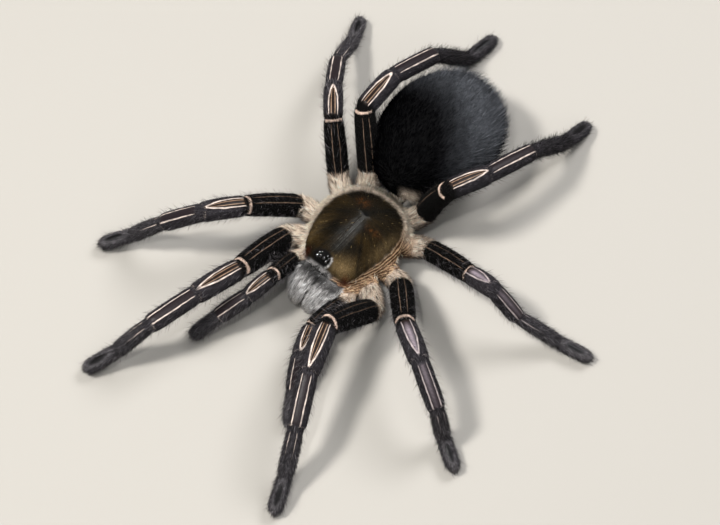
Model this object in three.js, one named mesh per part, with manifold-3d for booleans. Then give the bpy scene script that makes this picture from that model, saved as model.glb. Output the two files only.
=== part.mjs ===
// A stripe-kneed tarantula, an adult female at life size, standing still on a level floor.
// Units are millimetres. +Z is up, the spider faces -Y, and its own left side is +X.
// Each named part of the body is a closed solid out to the tips of its coat.
import * as THREE from 'three';
import { mergeVertices } from 'three/addons/utils/BufferGeometryUtils.js';
import Module from 'manifold-3d';

const wasm = await Module();
wasm.setup();

// ---- driving dimensions ----
const GAP = 0.3; // clearance between neighbouring parts
const COARSE_GAP = 0.54; // the same round the carapace, whose room is cut with coarser facets
const CARAPACE = { length: 20.4, width: 18.3, headWidth: 12.4, rimHeight: 8.2, dome: 4.1, skirt: 1.1 };
const CARAPACE_CORNERS = { head: 0.42, rear: 0.86 }; // 1 is round and 0 is square
const STERNUM = { length: 12.5, width: 9.5, bottom: 3.6, top: 7.6 };
const ABDOMEN = { length: 30.2, width: 23.8, height: 20.2, front: 10.25, centreHeight: 11.6, aside: -0.3 };
const PEDICEL = { radius: 1.7, height: 6.8, front: 6.2, back: 14 };
const CHELICERA = { front: -17.3, back: -9.0, width: 5.05, height: 6.4, droop: 16 };
const CHELICERA_FORM = { halfLength: 5.976, centreHeight: 6.5 }; // its whole lobe, before the head cuts it
const FANG = { length: 5.6, baseRadius: 1.0, tipRadius: 0.3, curl: 1.5, tilt: -6 };
const FANG_ROOT = { aside: 2.4, inset: 1.4, height: 2.5 }; // inset is from the front of the chelicera
const EYE_MOUND = { length: 2.3, width: 2.9, height: 1.0, y: -8.5, sink: 0.75 };
const SPINNERET = { length: 5.2, radius: 0.8, spread: 1.4, y: 36.8, height: 5.2, tilt: -8, splay: 8 };

// The four eyes of one side, from the middle of the mound: a big one in front, three beside it.
const EYES = [
  { x: 0.42, y: -0.35, z: 0.86, radius: 0.36 },
  { x: 1.05, y: -0.52, z: 0.42, radius: 0.36 },
  { x: 1.08, y: 0.22, z: 0.42, radius: 0.32 },
  { x: 0.66, y: 0.45, z: 0.68, radius: 0.26 },
];

const HIP_RING = { halfWidth: 12.6, halfLength: 15, height: 7.2 }; // the ellipse the leg roots lie on
const LEAN = { shift: 1, height: 7 }; // the hips stand this far left of the top of the back
const ASIDE = { back: 0.55, chelicerae: 0.4 }; // how much further left of the eyes these parts sit
const PALP_ROOT = { x: 6.6, y: -10.6, height: 6.5 };
const TOE_HEIGHT = 1.4; // the middle of each toe tip above the floor
const COXA = { radius: 2.45, start: 0.42, drop: 0.6 }; // it starts this share of the way out to the hip
const PALP_COXA = { radius: 2.1, start: 0.5, y: -4 };
const SEGMENT_SIDES = 8;
const SEGMENT_STEPS = 5; // rings along a segment's outline
const OVERRUN = 1.1; // how far a segment runs past its joints before the cut, in radii
const STEEPEST = 0.97; // the sine of the steepest drop a segment may have

const LEG_SEGMENTS = ['femur', 'patella', 'tibia', 'metatarsus', 'tarsus'];
const PALP_SEGMENTS = ['femur', 'patella', 'tibia', 'tarsus'];

// Segment lengths of the four pairs of legs, and of the palps, root to tip.
const LEG_LENGTHS = {
  1: [14.4, 9.8, 10.4, 10.8, 7.4],
  2: [13.5, 8.6, 9.4, 9.9, 7.0],
  3: [12.0, 7.0, 8.5, 10.6, 7.0],
  4: [14.6, 9.2, 11.8, 14.4, 8.4],
};
const PALP_LENGTHS = [9.0, 6.2, 7.2, 7.2];

// How thick each kind of segment is, and how its outline swells between its joints.
const LEG_SHAPES = {
  femur: { radius: 2.6, ends: 0.84, arch: 0.5 },
  patella: { radius: 2.45, ends: 0.86, arch: 0.3 },
  tibia: { radius: 2.2, ends: 0.88, arch: 0.1 },
  metatarsus: { radius: 2.0, ends: 0.9, arch: 0.1 },
  tarsus: { radius: 1.9, ends: 0.95, arch: 0.05 },
};
const LEG_GIRTHS = { 1: 1.05, 2: 1, 3: 0.94, 4: 1 }; // each pair against the shapes above
const PALP_SHAPES = {
  femur: { radius: 2.25, ends: 0.84, arch: 0.5 },
  patella: { radius: 2.15, ends: 0.86, arch: 0.3 },
  tibia: { radius: 2.15, ends: 0.88, arch: 0.1 },
  tarsus: { radius: 2.0, ends: 0.92, arch: 0.1 },
};

// The stance. swing is each segment's heading: 0 points straight out sideways, -90 to the
// front and 90 to the back. lift is its angle above level. The last segment but one has no
// lift of its own: it drops as steeply as it must for the toe to meet the floor. reach is how
// far out its hip stands, against the ring of hips.
const STANCE = {
  left: {
    1: { hip: -32, reach: 1.14, swing: [-101, -69, -62, -67, -68], lift: [39, -3, -17, -24] },
    2: { hip: -6, reach: 1, swing: [-46, -31, -27, -14, -30], lift: [32, 12, -26, -7] },
    3: { hip: 29, reach: 1, swing: [0, -6, 8, 22, 14], lift: [18, 32, -50, -6] },
    4: { hip: 58, reach: 1, swing: [19, 71, 78, 84, 90], lift: [74, -16, -18, -26] },
    palp: { swing: [-98, -68, -61, -56], lift: [0, 6, -8] },
  },
  right: {
    1: { hip: -32, reach: 1, swing: [-89, -74, -76, -58, -64], lift: [24, 0, -3, -24] },
    2: { hip: -6, reach: 1, swing: [-58, -57, -38, -34, -51], lift: [32, 14, -36, -18] },
    3: { hip: 29, reach: 1, swing: [43, 49, 55, 70, 63], lift: [31, 0, -23, -19] },
    4: { hip: 54, reach: 1, swing: [41, 88, 98, 103, 94], lift: [55, -3, -22, -9] },
    palp: { swing: [-97, -74, -65, -67], lift: [36, -28, -33] },
  },
};

// ---- materials ----
function coat(color, roughness) {
  return new THREE.MeshStandardMaterial({ color, roughness, metalness: 0 });
}
const BLACK_COAT = coat(0x141416, 0.85);
const GREY_COAT = coat(0x44464c, 0.85);
const OLIVE_COAT = coat(0x5a4a24, 0.75);
const SILVER_COAT = coat(0x9a9aa0, 0.7);
const PALE_COAT = coat(0xc8ae9c, 0.8);
const HORN = coat(0x0c0808, 0.2);
const EYE = coat(0x050505, 0.05);

// ---- solids ----
const UP = new THREE.Vector3(0, 0, 1);
const radians = THREE.MathUtils.degToRad;

function solidOf(geometry) {
  const bare = geometry.clone();
  bare.deleteAttribute('normal');
  bare.deleteAttribute('uv');
  const merged = mergeVertices(bare, 1e-4);
  const mesh = new wasm.Mesh({
    numProp: 3,
    vertProperties: new Float32Array(merged.attributes.position.array),
    triVerts: new Uint32Array(merged.index.array),
  });
  return new wasm.Manifold(mesh);
}

function geometryOf(solid) {
  const mesh = solid.getMesh();
  const geometry = new THREE.BufferGeometry();
  geometry.setAttribute('position', new THREE.BufferAttribute(new Float32Array(mesh.vertProperties), 3));
  geometry.setIndex(new THREE.BufferAttribute(new Uint32Array(mesh.triVerts), 1));
  return geometry;
}

// Moves every vertex of a geometry by a function of its place.
function reshape(geometry, move) {
  const place = geometry.attributes.position;
  const point = new THREE.Vector3();
  for (let i = 0; i < place.count; i += 1) {
    point.fromBufferAttribute(place, i);
    move(point);
    place.setXYZ(i, point.x, point.y, point.z);
  }
  return geometry;
}

// A ball stretched to its half sizes, with its poles on the Z axis.
function ellipsoid(centre, halfSizes, sides, rings, grow = 0) {
  const geometry = new THREE.SphereGeometry(1, sides, rings);
  geometry.rotateX(Math.PI / 2);
  geometry.scale(halfSizes.x + grow, halfSizes.y + grow, halfSizes.z + grow);
  geometry.translate(centre.x, centre.y, centre.z);
  return geometry;
}

function signedPower(value, power) {
  return Math.sign(value) * Math.abs(value) ** power;
}

// How far left of the top of the back the body's middle is at a height.
function leanAt(height) {
  const top = CARAPACE.rimHeight + CARAPACE.dome;
  return LEAN.shift * THREE.MathUtils.clamp((top - height) / LEAN.height, 0, 1);
}

// ---- stance: where every joint is ----
function heading(side, swing, lift) {
  const mirror = side === 'left' ? 1 : -1;
  const level = Math.cos(radians(lift));
  return new THREE.Vector3(
    mirror * Math.cos(radians(swing)) * level,
    Math.sin(radians(swing)) * level,
    Math.sin(radians(lift)),
  );
}

function hipOf(side, { hip, reach }) {
  const mirror = side === 'left' ? 1 : -1;
  return new THREE.Vector3(
    LEAN.shift + mirror * HIP_RING.halfWidth * reach * Math.cos(radians(hip)),
    HIP_RING.halfLength * reach * Math.sin(radians(hip)),
    HIP_RING.height,
  );
}

function palpRootOf(side) {
  const mirror = side === 'left' ? 1 : -1;
  return new THREE.Vector3(LEAN.shift + mirror * PALP_ROOT.x, PALP_ROOT.y, PALP_ROOT.height);
}

// Fills in the lift of the last segment but one, so that the toe reaches the floor.
function fullLift(rootHeight, lengths, lift) {
  const last = lengths.length - 1;
  let height = rootHeight + lengths[last] * Math.sin(radians(lift[last - 1]));
  for (let i = 0; i < last - 1; i += 1) {
    height += lengths[i] * Math.sin(radians(lift[i]));
  }
  const drop = THREE.MathUtils.clamp((TOE_HEIGHT - height) / lengths[last - 1], -STEEPEST, STEEPEST);
  const solved = THREE.MathUtils.radToDeg(Math.asin(drop));
  return [...lift.slice(0, -1), solved, lift[last - 1]];
}

// A limb is its joints in order from root to tip, with the heading of each segment.
function limbOf(side, root, lengths, stance) {
  const lifts = fullLift(root.z, lengths, stance.lift);
  const joints = [root];
  const headings = [];
  lengths.forEach((length, i) => {
    const direction = heading(side, stance.swing[i], lifts[i]);
    headings.push(direction);
    joints.push(joints[i].clone().addScaledVector(direction, length));
  });
  return { joints, headings };
}

// Turns a shape drawn along +Y so that it runs along a direction, with its +Z side on top.
function frameAlong(direction, from) {
  const side = direction.clone().cross(UP).normalize();
  const above = side.clone().cross(direction);
  return new THREE.Matrix4().makeBasis(side, direction, above).setPosition(from);
}

// ---- limb segments ----
// A turned outline that swells between its ends, runs on past both joints, and is then cut
// at each joint on the plane that halves the bend.
function segmentGeometry(from, direction, length, shape, girth, isToe, grow) {
  const radius = shape.radius * girth + grow;
  const overrun = radius * OVERRUN;
  const outline = [new THREE.Vector2(0, -overrun)];
  for (let i = 0; i <= SEGMENT_STEPS; i += 1) {
    const along = i / SEGMENT_STEPS;
    const swell = shape.ends + (1 - shape.ends) * Math.sin(Math.PI * along ** 0.85) ** 0.7;
    outline.push(new THREE.Vector2(radius * swell, i === 0 ? -overrun : length * along));
  }
  if (isToe) {
    outline[SEGMENT_STEPS + 1] = new THREE.Vector2(radius * 0.92, length - radius * 0.4);
    outline.push(new THREE.Vector2(radius * 0.6, length + radius * 0.05));
    outline.push(new THREE.Vector2(0, length + radius * 0.2));
  } else {
    outline[SEGMENT_STEPS + 1] = new THREE.Vector2(radius * shape.ends, length + overrun);
    outline.push(new THREE.Vector2(0, length + overrun));
  }
  const geometry = new THREE.LatheGeometry(outline, SEGMENT_SIDES);
  reshape(geometry, (point) => {
    const along = THREE.MathUtils.clamp(point.y / length, 0, 1);
    point.z += shape.arch * Math.sin(Math.PI * along);
  });
  return geometry.applyMatrix4(frameAlong(direction, from));
}

// Keeps what lies beyond the plane through a joint, less half the gap.
function cutAt(solid, joint, normal) {
  const offset = normal.dot(joint) + GAP / 2;
  return solid.trimByPlane([normal.x, normal.y, normal.z], offset);
}

function halfway(a, b) {
  return a.clone().add(b).normalize();
}

// The segments of one limb as solids, root to tip. rootHeading is the way its coxa points.
function limbSolids({ joints, headings, lengths, names, shapes, girth, rootHeading }, grow = 0) {
  return names.map((name, i) => {
    const isToe = i === names.length - 1;
    const shape = shapes[name];
    const geometry = segmentGeometry(joints[i], headings[i], lengths[i], shape, girth, isToe, grow);
    const before = i === 0 ? rootHeading : headings[i - 1];
    let solid = cutAt(solidOf(geometry), joints[i], halfway(before, headings[i]));
    if (!isToe) {
      solid = cutAt(solid, joints[i + 1], halfway(headings[i], headings[i + 1]).negate());
    }
    return solid.trimByPlane([0, 0, 1], 0);
  });
}

// ---- prosoma ----
function carapaceGeometry(grow = 0, sides = 24, rings = 9) {
  const geometry = new THREE.SphereGeometry(1, sides, rings);
  geometry.rotateX(Math.PI / 2);
  const halfLength = CARAPACE.length / 2 + grow;
  const rearHalf = CARAPACE.width / 2 + grow;
  const frontHalf = CARAPACE.headWidth / 2 + grow;
  return reshape(geometry, (point) => {
    const reach = Math.hypot(point.x, point.y);
    const cos = reach > 1e-6 ? point.x / reach : 0;
    const sin = reach > 1e-6 ? point.y / reach : 0;
    const behind = THREE.MathUtils.smoothstep(sin, -0.6, 0.3);
    const roundness = THREE.MathUtils.lerp(CARAPACE_CORNERS.head, CARAPACE_CORNERS.rear, behind);
    const along = signedPower(sin, roundness); // -1 at the front edge, 1 at the rear edge
    const widest = THREE.MathUtils.smoothstep(along, -1.3, 0.1);
    const half = THREE.MathUtils.lerp(frontHalf, rearHalf, widest);
    const spread = reach ** 0.8;
    const height = point.z > 0 ? CARAPACE.dome * point.z ** 0.62 : CARAPACE.skirt * point.z;
    const across = signedPower(cos, roundness);
    point.set(half * across * spread, halfLength * along * spread, CARAPACE.rimHeight + height);
    point.z += Math.sign(height) * grow;
    point.x += leanAt(point.z) + ASIDE.back;
  });
}

// The breastplate, with the ten coxae that reach out from it to the roots of legs and palps.
// Every coxa ends on the plane that halves the bend to its femur.
function sternumSolid(limbs) {
  const middle = (STERNUM.bottom + STERNUM.top) / 2;
  const half = new THREE.Vector3(STERNUM.width / 2, STERNUM.length / 2, (STERNUM.top - STERNUM.bottom) / 2);
  let solid = solidOf(ellipsoid(new THREE.Vector3(LEAN.shift, -0.5, middle), half, 12, 6));
  limbs.forEach(({ joints, headings, inner, rootHeading, coxaRadius }) => {
    const reach = joints[0].distanceTo(inner);
    const outline = [
      new THREE.Vector2(0, -coxaRadius),
      new THREE.Vector2(coxaRadius * 0.75, -coxaRadius * 0.6),
      new THREE.Vector2(coxaRadius, reach * 0.55),
      new THREE.Vector2(coxaRadius * 0.9, reach + coxaRadius),
      new THREE.Vector2(0, reach + coxaRadius),
    ];
    const coxa = new THREE.LatheGeometry(outline, SEGMENT_SIDES);
    coxa.applyMatrix4(frameAlong(rootHeading, inner));
    const bend = halfway(rootHeading, headings[0]).negate();
    solid = solid.add(cutAt(solidOf(coxa), joints[0], bend));
  });
  return solid;
}

function chelicera(side, grow = 0) {
  const mirror = side === 'left' ? 1 : -1;
  const half = new THREE.Vector3(CHELICERA.width / 2, CHELICERA_FORM.halfLength, CHELICERA.height / 2);
  const geometry = new THREE.SphereGeometry(1, 12, 8);
  reshape(geometry, (point) => {
    point.set(signedPower(point.x, 0.65), signedPower(point.y, 0.8), signedPower(point.z, 0.85));
    point.x -= mirror * 0.2 * Math.max(0, -point.y) ** 2;
    point.x *= 1 + 0.3 * Math.max(0, point.y + 0.2);
  });
  geometry.scale(half.x + grow, half.y + grow, half.z + grow);
  geometry.rotateX(radians(CHELICERA.droop));
  const middle = LEAN.shift + ASIDE.chelicerae;
  geometry.translate(middle + mirror * half.x, CHELICERA.front + half.y, CHELICERA_FORM.centreHeight);
  return solidOf(geometry)
    .trimByPlane([mirror, 0, 0], mirror * middle + GAP / 2)
    .trimByPlane([0, -1, 0], -CHELICERA.back - grow);
}

// A curved horn folded back under its chelicera.
function fang(side) {
  const mirror = side === 'left' ? 1 : -1;
  const outline = [
    new THREE.Vector2(0, 0),
    new THREE.Vector2(FANG.baseRadius, 0),
    new THREE.Vector2(FANG.baseRadius * 0.8, FANG.length * 0.35),
    new THREE.Vector2(FANG.baseRadius * 0.5, FANG.length * 0.7),
    new THREE.Vector2(FANG.tipRadius, FANG.length * 0.95),
    new THREE.Vector2(0, FANG.length),
  ];
  const geometry = new THREE.LatheGeometry(outline, 8);
  reshape(geometry, (point) => {
    const along = point.y / FANG.length;
    point.z -= FANG.curl * along ** 2;
  });
  geometry.rotateX(radians(FANG.tilt));
  const middle = LEAN.shift + ASIDE.chelicerae;
  geometry.translate(middle + mirror * FANG_ROOT.aside, CHELICERA.front + FANG_ROOT.inset, FANG_ROOT.height);
  return solidOf(geometry);
}

// The low mound that carries all eight eyes: a big round pair in front, the rest at the sides.
function eyeMoundSolid(grow = 0) {
  const seat = CARAPACE.rimHeight + CARAPACE.dome - EYE_MOUND.sink;
  const centre = new THREE.Vector3(0, EYE_MOUND.y, seat);
  const half = new THREE.Vector3(EYE_MOUND.width / 2, EYE_MOUND.length / 2, EYE_MOUND.height);
  let solid = solidOf(ellipsoid(centre, half, 10, 6, grow));
  if (grow > 0) {
    return solid;
  }
  EYES.forEach((eye) => {
    [1, -1].forEach((mirror) => {
      const place = new THREE.Vector3(mirror * eye.x, EYE_MOUND.y + eye.y, seat + eye.z * EYE_MOUND.height);
      const size = new THREE.Vector3(eye.radius, eye.radius, eye.radius);
      solid = solid.add(solidOf(ellipsoid(place, size, 6, 3)));
    });
  });
  return solid;
}

// ---- opisthosoma ----
function abdomenGeometry(grow = 0) {
  const half = new THREE.Vector3(ABDOMEN.width / 2, ABDOMEN.length / 2, ABDOMEN.height / 2);
  const centre = new THREE.Vector3(ABDOMEN.aside, ABDOMEN.front + half.y, ABDOMEN.centreHeight);
  const geometry = ellipsoid(centre, half, 22, 12, grow);
  return reshape(geometry, (point) => {
    const along = (point.y - centre.y) / half.y; // -1 at the waist, 1 at the spinnerets
    point.x *= 1 + 0.04 * Math.sin(along * 1.6);
    point.z += 0.5 * Math.cos(along * 1.4) - 0.5;
  });
}

function pedicelSolid(grow = 0) {
  const radius = PEDICEL.radius + grow;
  const length = PEDICEL.back - PEDICEL.front + 2 * grow;
  const geometry = new THREE.CylinderGeometry(radius, radius, length, 12, 1);
  geometry.translate(LEAN.shift, (PEDICEL.back + PEDICEL.front) / 2, PEDICEL.height);
  return solidOf(geometry);
}

function spinneret(side) {
  const mirror = side === 'left' ? 1 : -1;
  const outline = [
    new THREE.Vector2(0, 0),
    new THREE.Vector2(SPINNERET.radius, 0),
    new THREE.Vector2(SPINNERET.radius, SPINNERET.length * 0.4),
    new THREE.Vector2(SPINNERET.radius * 0.8, SPINNERET.length * 0.75),
    new THREE.Vector2(SPINNERET.radius * 0.4, SPINNERET.length * 0.97),
    new THREE.Vector2(0, SPINNERET.length),
  ];
  const geometry = new THREE.LatheGeometry(outline, 8);
  geometry.rotateX(radians(SPINNERET.tilt));
  geometry.rotateZ(radians(-SPINNERET.splay * mirror));
  geometry.translate(mirror * SPINNERET.spread, SPINNERET.y, SPINNERET.height);
  return solidOf(geometry);
}

// ---- assembly ----
const group = new THREE.Group();

// Adds a solid as a mesh whose own origin is the given point.
function addPart(name, solid, material, origin = new THREE.Vector3()) {
  const geometry = geometryOf(solid);
  geometry.translate(-origin.x, -origin.y, -origin.z);
  const mesh = new THREE.Mesh(geometry, material);
  mesh.name = name;
  mesh.position.copy(origin);
  group.add(mesh);
}

const SIDES = ['left', 'right'];
const limbs = [];
SIDES.forEach((side) => {
  [1, 2, 3, 4].forEach((pair) => {
    const stance = STANCE[side][pair];
    const root = hipOf(side, stance);
    const innerX = THREE.MathUtils.lerp(LEAN.shift, root.x, COXA.start);
    const inner = new THREE.Vector3(innerX, root.y * COXA.start, root.z - COXA.drop);
    limbs.push({
      name: `leg_${pair}_${side}`,
      names: LEG_SEGMENTS,
      lengths: LEG_LENGTHS[pair],
      shapes: LEG_SHAPES,
      girth: LEG_GIRTHS[pair],
      coxaRadius: COXA.radius,
      inner,
      rootHeading: root.clone().sub(inner).normalize(),
      ...limbOf(side, root, LEG_LENGTHS[pair], stance),
    });
  });
  const root = palpRootOf(side);
  const innerX = THREE.MathUtils.lerp(LEAN.shift, root.x, PALP_COXA.start);
  const inner = new THREE.Vector3(innerX, PALP_COXA.y, root.z - COXA.drop);
  limbs.push({
    name: `palp_${side}`,
    names: PALP_SEGMENTS,
    lengths: PALP_LENGTHS,
    shapes: PALP_SHAPES,
    girth: 1,
    coxaRadius: PALP_COXA.radius,
    inner,
    rootHeading: root.clone().sub(inner).normalize(),
    ...limbOf(side, root, PALP_LENGTHS, STANCE[side].palp),
  });
});

// Grown copies of the big parts, which cut the room that their neighbours leave them.
const carapaceRoom = solidOf(carapaceGeometry(COARSE_GAP, 16, 6));
const abdomenRoom = solidOf(abdomenGeometry(GAP));
const eyeRoom = eyeMoundSolid(GAP);
const cheliceraRooms = SIDES.map((side) => chelicera(side, GAP));

function without(solid, rooms) {
  return rooms.reduce((rest, room) => rest.subtract(room), solid);
}

// A palp lies against the front leg of its own side, so it leaves that leg its room.
function neighboursOf(limb) {
  const body = [carapaceRoom, abdomenRoom, ...cheliceraRooms];
  if (limb.names !== PALP_SEGMENTS) {
    return body;
  }
  const frontLeg = limbs.find(({ name }) => name === limb.name.replace('palp', 'leg_1'));
  return [...body, ...limbSolids(frontLeg, GAP)];
}

const sternum = without(sternumSolid(limbs), [
  carapaceRoom,
  abdomenRoom,
  pedicelSolid(GAP),
  ...cheliceraRooms,
]);

addPart('carapace', solidOf(carapaceGeometry()).subtract(eyeRoom), OLIVE_COAT);
addPart('eye_tubercle', eyeMoundSolid(), EYE);
addPart('sternum', sternum, PALE_COAT);
addPart('abdomen', solidOf(abdomenGeometry()), BLACK_COAT);
addPart('pedicel', pedicelSolid().subtract(abdomenRoom).subtract(carapaceRoom), PALE_COAT);

SIDES.forEach((side) => {
  addPart(`chelicera_${side}`, chelicera(side).subtract(carapaceRoom), SILVER_COAT);
  addPart(`fang_${side}`, without(fang(side), cheliceraRooms), HORN);
  addPart(`spinneret_${side}`, spinneret(side).subtract(abdomenRoom), BLACK_COAT);
});

limbs.forEach((limb) => {
  const neighbours = neighboursOf(limb);
  limbSolids(limb).forEach((solid, i) => {
    const name = limb.names[i];
    const isFoot = name === 'tarsus' || name === 'metatarsus';
    const material = isFoot ? GREY_COAT : BLACK_COAT;
    addPart(`${limb.name}_${name}`, without(solid, neighbours), material, limb.joints[i]);
  });
});

// The part's origin is the middle of its footprint, on the floor.
const box = new THREE.Box3().setFromObject(group);
const middle = box.getCenter(new THREE.Vector3());
const part = new THREE.Group();
group.position.set(-middle.x, -middle.y, -box.min.z);
part.add(group);

export default part;
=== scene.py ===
"""A stripe-kneed tarantula standing still on a pale floor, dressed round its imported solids.

One skin stands for all the flesh. Over it lies a coat of short velvet hair, with combed hair on the
chelicerae, a pale fringe round the carapace and long fine bristles on legs and abdomen.
The spider faces -Y, +Z is up, and its own left side is +X.
"""

import math
from types import SimpleNamespace

import bpy
import numpy as np
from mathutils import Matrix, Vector
from mathutils.kdtree import KDTree


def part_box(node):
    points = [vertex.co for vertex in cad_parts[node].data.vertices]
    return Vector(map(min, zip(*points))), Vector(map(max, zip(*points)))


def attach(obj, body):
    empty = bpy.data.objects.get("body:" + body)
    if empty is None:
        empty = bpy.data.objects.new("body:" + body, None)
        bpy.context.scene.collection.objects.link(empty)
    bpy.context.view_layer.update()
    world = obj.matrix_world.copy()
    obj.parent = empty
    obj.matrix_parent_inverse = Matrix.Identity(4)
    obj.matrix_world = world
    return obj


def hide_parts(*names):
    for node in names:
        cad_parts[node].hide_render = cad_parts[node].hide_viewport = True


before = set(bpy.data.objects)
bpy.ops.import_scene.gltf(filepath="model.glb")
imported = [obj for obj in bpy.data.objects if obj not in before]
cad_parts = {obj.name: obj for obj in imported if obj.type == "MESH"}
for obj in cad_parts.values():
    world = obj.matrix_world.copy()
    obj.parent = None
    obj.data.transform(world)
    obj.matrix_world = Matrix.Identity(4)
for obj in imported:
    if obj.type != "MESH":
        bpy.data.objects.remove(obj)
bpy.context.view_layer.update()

# ---- measures, in metres ----
MM = 0.001
SIDES = {"left": 1, "right": -1}  # which way each side lies along X
LEG_SEGMENTS = ("femur", "patella", "tibia", "metatarsus", "tarsus")
PALP_SEGMENTS = ("femur", "patella", "tibia", "tarsus")
KINDS = ("carapace", "chelicera", "abdomen", "sternum", "spinneret", "hip", "limb")  # of flesh

SKIN_GRAIN = 0.35 * MM  # the size of the skin's faces
COAT_DEPTH = {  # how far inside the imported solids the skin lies, which leaves room for the coat
    "leg": 0.42 * MM, "foot": 0.6 * MM, "carapace": 0.3 * MM, "abdomen": 0.6 * MM, "chelicera": 0.45 * MM,
}
UNDER_HAIR_SHADE = 0.5  # painted shade: how much of its colour the skin under the coat keeps beside its hair, darkened as if in the hair's shade
FLOOR_GAP = 0.06 * MM  # the skin never comes nearer to the floor than this
NO_LINE = -1 * MM  # how far inside a pale line a place counts that has no line near it

rng = np.random.default_rng(41)


def linear(red, green, blue):
    """A colour given from 0 to 255, as the share of light that it sends back."""
    share = np.array([red, green, blue]) / 255
    return np.where(share > 0.04, ((share + 0.055) / 1.055) ** 2.4, share / 12.92)


# ---- colours of the limbs ----
CREAM = linear(212, 196, 185)
RING_CREAM = linear(214, 188, 171)
LINE_TAN = linear(128, 107, 91)
LINE_GREY = linear(172, 160, 158)
LEG_BLACK = linear(9, 8, 7)
LEG_GREY = linear(84, 80, 85)
FOOT_GREY = linear(94, 91, 94)
TOE_GREY = linear(132, 128, 130)
TOE_BLACK = linear(12, 11, 12)
SHIN_BLACK = linear(34, 28, 30)
KNEE_BROWN = linear(26, 17, 12)
KNEE_GOLD = linear(144, 118, 97)
# painted highlight: the lavender-grey glare that bare knees reflect
KNEE_LAVENDER_GLARE = linear(118, 108, 114)
HIP_CREAM = linear(252, 231, 209)
HIP_BROWN = linear(126, 90, 68)
HIP_SHADE = linear(38, 28, 22)
BRISTLE_GREY = linear(104, 100, 102)
HIND_BRISTLE = linear(30, 28, 30)

# ---- colours of the body ----
OLIVE = linear(66, 50, 22)
DARK_OLIVE = linear(16, 13, 6)
GOLD = linear(146, 122, 84)
FLECK_GOLD = linear(214, 184, 128)
RUST = linear(106, 64, 26)
RIM_TAN = linear(226, 188, 150)
RIM_BROWN = linear(84, 56, 36)
BAND_GREY = linear(122, 122, 120)
EYE_PATCH = linear(9, 8, 7)
CORNER_RED = linear(104, 52, 30)
SILVER = linear(246, 242, 240)
WHITE = linear(250, 246, 242)
# painted shade for the cleft between the chelicerae
CLEFT_SHADE = linear(26, 24, 24)
VELVET_BLACK = linear(4, 4, 5)
SHEEN_GREY = linear(118, 121, 127)
UNDER_BLACK = linear(26, 23, 22)
UNDER_BROWN = linear(58, 43, 35)


# ---- small helpers on rows of points ----
def unit(rows):
    return rows / np.maximum(np.linalg.norm(rows, axis=-1, keepdims=True), 1e-12)


def dots(a, b):
    return np.sum(a * b, axis=-1)


def smooth_step(value, start, end):
    """0 before the start and 1 past the end, with a soft passage between them."""
    share = np.clip((value - start) / (end - start), 0, 1)
    return share * share * (3 - 2 * share)


def peak(value, half):
    """1 where the value is 0, fading over half to each side."""
    return np.exp(-(value / half) ** 2)


def mixed(a, b, share):
    """The colours a and b mixed row by row, with the share of b."""
    share = np.asarray(share)[..., None]
    return a * (1 - share) + b * share


def signed_power(value, power):
    return np.sign(value) * np.abs(value) ** power


def ripple(points, wavelength, seed, stretch=(1, 1, 1)):
    """A soft random pattern between about -1 and 1 that has the given wavelength."""
    waves = np.random.default_rng(seed)
    total = np.zeros(len(points))
    for _ in range(7):
        heading = unit(waves.normal(size=3)) * waves.uniform(0.6, 1.6) / np.array(stretch)
        total += np.sin(points @ heading * (2 * math.pi / wavelength) + waves.uniform(0, 6.3))
    return total / 2.6


def tones(points, wavelength, seed, swing):
    """A soft random pattern round 0.5, from 0 to 1."""
    return np.clip(0.5 + swing * ripple(points, wavelength, seed), 0, 1)


def along_surface(heading, normals):
    """A heading laid flat on the surface."""
    heading = np.broadcast_to(heading, normals.shape)
    return unit(heading - normals * dots(heading, normals)[:, None])


# ---- where things are, from the frame ----
def points_of(node):
    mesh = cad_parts[node].data
    places = np.empty(len(mesh.vertices) * 3)
    mesh.vertices.foreach_get("co", places)
    return np.unique(places.reshape(-1, 3).round(7), axis=0)


def box_of(node):
    low, high = (np.array(corner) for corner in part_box(node))
    return SimpleNamespace(low=low, high=high, centre=(low + high) / 2, half=(high - low) / 2)


def meeting(a, b):
    """The middle of the thin cut between two neighbouring nodes."""
    reach = 0.9 * MM
    first, second = points_of(a), points_of(b)
    apart = np.linalg.norm(first[:, None] - second[None], axis=2)
    rim = np.vstack([first[apart.min(axis=1) < reach], second[apart.min(axis=0) < reach]])
    return rim.mean(axis=0)


CARAPACE = box_of("carapace")
MOUND = box_of("eye_tubercle")
ABDOMEN = box_of("abdomen")
STERNUM = box_of("sternum")
PEDICEL = box_of("pedicel")
CHELICERAE = {side: box_of(f"chelicera_{side}") for side in SIDES}
MIDDLE_X = (CHELICERAE["left"].low[0] + CHELICERAE["right"].high[0]) / 2
RIM_SKIRT = 1.1 * MM  # the edge of the carapace below its rim
RIM_HEIGHT = CARAPACE.low[2] + RIM_SKIRT
DOME = CARAPACE.high[2] - RIM_HEIGHT
LEAN = 1.0 * MM  # the top of the back stands this far right of the hips
BACK_ASIDE = 0.55 * MM  # the middle of the back is this far left of the eyes
HEAD_NARROWER = 2.95 * MM  # how much less wide the head is than the back, on each side
HEAD_CORNERS, REAR_CORNERS = 0.42, 0.86  # 1 is round and 0 is square
FOVEA = np.array([MOUND.centre[0] + 0.2 * MM, CARAPACE.centre[1] + 3.5 * MM, CARAPACE.high[2]])


COXA_RADIUS, PALP_COXA_RADIUS = 2.45 * MM, 2.1 * MM
COXA_DROP = 0.6 * MM  # the root of a coxa lies this far lower than its hip
TOE_INSET = 0.45 * MM  # the round of the toe ends this far inside its solid


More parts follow.
